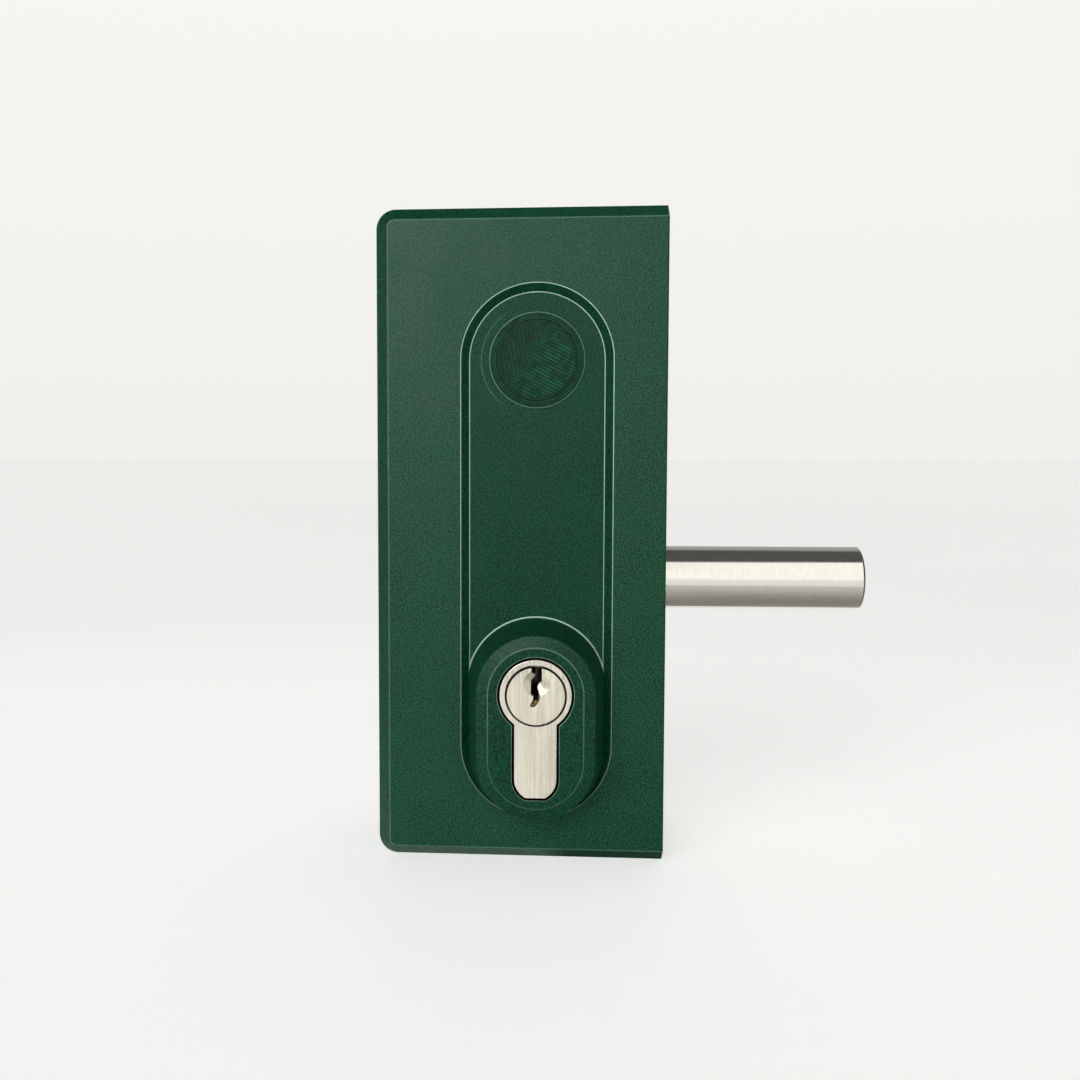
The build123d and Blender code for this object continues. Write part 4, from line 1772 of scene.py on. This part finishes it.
    def glow(self, nodes: Nodes, x: Socket, y: Socket, card: Socket) -> Socket:
        """Light that glossy rays see: on the card, to its right, and in front of the case.

        Args:
            nodes: writer of the material.
            x, y: the place.
            card: its distance from the card's middle.

        Returns:
            The light's socket.
        """
        near = nodes.remap(nodes.math("ABSOLUTE", x), 0.08, 0.2, 1.5, 0.0)
        near = nodes.times(near, nodes.remap(y, -0.27, -0.17))
        right = nodes.remap(x, -0.015, 0.015)
        outside = nodes.remap(card, 0.96, 1.08, 0.0, self.beyond_glow)
        outside = nodes.times(outside, nodes.math("MAXIMUM", near, right))
        inside = nodes.times(nodes.remap(card, 0.2, 0.9, 0.0, self.card_glow), right)
        return nodes.math("MAXIMUM", outside, inside)


Stops = tuple[tuple[float, float], ...]


@dataclass
class Studio:
    """Pale floor, white surroundings, soft light and the camera of the photograph.

    Each level of the world is a set of stops: how steeply a ray goes up, from 0 to 1, and the
    brightness there.

    Fields:
        eye: the camera's place in millimetres.
        turn: its rotation in degrees.
        lens: in millimetres on a 36 mm sensor.
        shift: lens shift, as the framing needs.
        ahead, behind: levels that glossy rays see in front of the lock and behind it.
        lit, unlit: levels that light matt surfaces, from in front and from behind.
        backdrop: levels that the camera sees.
        haze: strength of the soft box that glossy surfaces mirror, up on the left.
        lamps: every lamp.
    """

    eye: Triple = (-28.597, -304.660, 34.737)
    turn: Triple = (86.0601, 0.0585, 4.3382)
    lens: float = 39.4458
    shift: tuple[float, float] = (0.076982, -0.016052)
    ahead: Stops = ((0.0, 1.12), (0.865, 1.12), (0.895, 0.085), (1.0, 0.095))
    behind: Stops = ((0.0, 0.95), (0.16, 0.95), (0.26, 0.42), (0.74, 0.36), (0.88, 0.09))
    lit: Stops = ((0.0, 1.2), (0.3, 1.16), (0.62, 0.05))
    unlit: Stops = ((0.0, 1.6), (0.3, 1.5), (0.75, 0.1))
    backdrop: Stops = ((0.0, 0.872), (0.35, 0.93))
    haze: float = 8.0
    lamps: tuple[SoftBox, ...] = (
        SoftBox("window", (-1.2, -2.8, 1.5), (-0.03, 0.0, 0.02), (2.6, 2.2), 44.0),
        SoftBox("haze_left", (-0.25, -0.6, 0.30), (-0.03, 0.0, 0.02), (0.25, 0.25), 3.9, COATED),
    )

    def world(self) -> None:
        """Plain level of light from all round; the camera and glossy rays see a bright studio."""
        world = bpy.data.worlds.new("studio")
        world.use_nodes = True
        bpy.context.scene.world = world
        nodes = Nodes(world.node_tree)
        output = next(node for node in world.node_tree.nodes if node.type == "OUTPUT_WORLD")
        for node in list(world.node_tree.nodes):
            if node != output:
                world.node_tree.nodes.remove(node)
        rays = nodes.add("LightPath").outputs
        x, y, up = nodes.axes(nodes.add("TexCoord").outputs["Generated"])
        aside = nodes.math("ABSOLUTE", x)
        in_front = nodes.remap(nodes.times(y, -1.0), -0.06, 0.06)

        lit, unlit = self.levels(nodes, up, self.lit), self.levels(nodes, up, self.unlit)
        sides = nodes.remap(aside, 0.4, 0.95, 1.0, 0.5)
        scattered = nodes.mix(1.0, nodes.mix(in_front, unlit, lit), sides, "MULTIPLY")
        mirrored = self.mirrored(nodes, x, up, in_front)
        backdrop = self.levels(nodes, up, self.backdrop)
        seen = nodes.math("MAXIMUM", rays["Is Camera Ray"], rays["Is Transmission Ray"])
        shader = self.emitted(nodes, scattered)
        for share, colour in ((rays["Is Glossy Ray"], mirrored), (seen, backdrop)):
            both = nodes.add("MixShader")
            for index, value in enumerate((share, shader, self.emitted(nodes, colour))):
                nodes.put(both.inputs[index], value)
            shader = both.outputs[0]
        nodes.put(output.inputs["Surface"], shader)

    def mirrored(self, nodes: Nodes, x: Socket, up: Socket, in_front: Socket) -> Socket:
        """What glossy rays see: dimmer sides, a dark flag up on the left and the soft box.

        Args:
            nodes: writer of the world.
            x, up: where a ray goes.
            in_front: 1 for a ray that leaves the front of the lock, 0 for one from its back.

        Returns:
            The colour's socket.
        """
        ahead, behind = self.levels(nodes, up, self.ahead), self.levels(nodes, up, self.behind)
        sideways = nodes.remap(nodes.math("ABSOLUTE", x), 0.45, 0.9, 1.0, 0.35)
        around = nodes.mix(1.0, nodes.mix(in_front, behind, ahead), sideways, "MULTIPLY")
        flag = nodes.mix(1.0, around, nodes.remap(x, 0.0, 0.1, 0.1, 1.0), "MULTIPLY")
        around = nodes.mix(nodes.remap(up, 0.45, 0.62), around, flag)
        tall = nodes.times(nodes.remap(up, 0.07, 0.18), nodes.remap(up, 0.42, 0.55, 1.0, 0.0))
        wide = nodes.times(nodes.remap(x, -0.22, -0.04, 1.0, 0.0), nodes.remap(x, -0.6, -0.45))
        softbox = nodes.times(tall, nodes.times(wide, in_front), self.haze)
        return nodes.mix(1.0, around, softbox, "ADD")

    @staticmethod
    def emitted(nodes: Nodes, colour: Socket) -> Socket:
        """Light of a colour from everywhere."""
        background = nodes.add("Background")
        nodes.put(background.inputs["Color"], colour)
        return background.outputs[0]

    @staticmethod
    def levels(nodes: Nodes, value: Socket, stops: Stops) -> Socket:
        """Grey level for a value between 0 and 1.

        Args:
            nodes: writer of the world.
            value: the socket to read.
            stops: positions and levels.

        Returns:
            The level's socket.
        """
        curve = nodes.add("ValToRGB")
        ramp = curve.color_ramp
        while len(ramp.elements) < len(stops):
            ramp.elements.new(0.5)
        for element, (position, level) in zip(ramp.elements, stops):
            element.position = position
            element.color = (level, level * 0.99, level * 0.965, 1.0)
        nodes.put(curve.inputs[0], value)
        return curve.outputs[0]

    def camera(self) -> None:
        """Camera at the photograph's viewing angle."""
        data = bpy.data.cameras.new("photo_camera")
        data.sensor_width = 36.0
        data.sensor_fit = "HORIZONTAL"
        data.lens = self.lens
        data.shift_x, data.shift_y = self.shift
        data.clip_start, data.clip_end = 0.01, 50.0
        camera = bpy.data.objects.new("photo_camera", data)
        bpy.context.scene.collection.objects.link(camera)
        camera.location = Vector(self.eye) * MM
        camera.rotation_euler = tuple(math.radians(value) for value in self.turn)
        bpy.context.scene.camera = camera

    def build(self) -> None:
        """Build the studio."""
        bpy.context.scene.view_settings.view_transform = "Standard"
        Floor().build()
        self.world()
        for lamp in self.lamps:
            lamp.build()
        self.camera()


def write_sizes() -> None:
    """Bring the view layer up to date."""
    bpy.context.view_layer.update()


def main() -> None:
    """Build the lock's looks and the studio, in order."""
    logging.basicConfig(level=logging.INFO, format="%(name)s: %(message)s")
    finishes = Finishes()
    for kind in (GateCase, MountingSide, SlidingBolt, ProfileCylinder, Works):
        log.info("building %s", kind.__name__)
        kind(finishes).build()
    Studio().build()
    write_sizes()


if __name__ == "__main__":
    main()
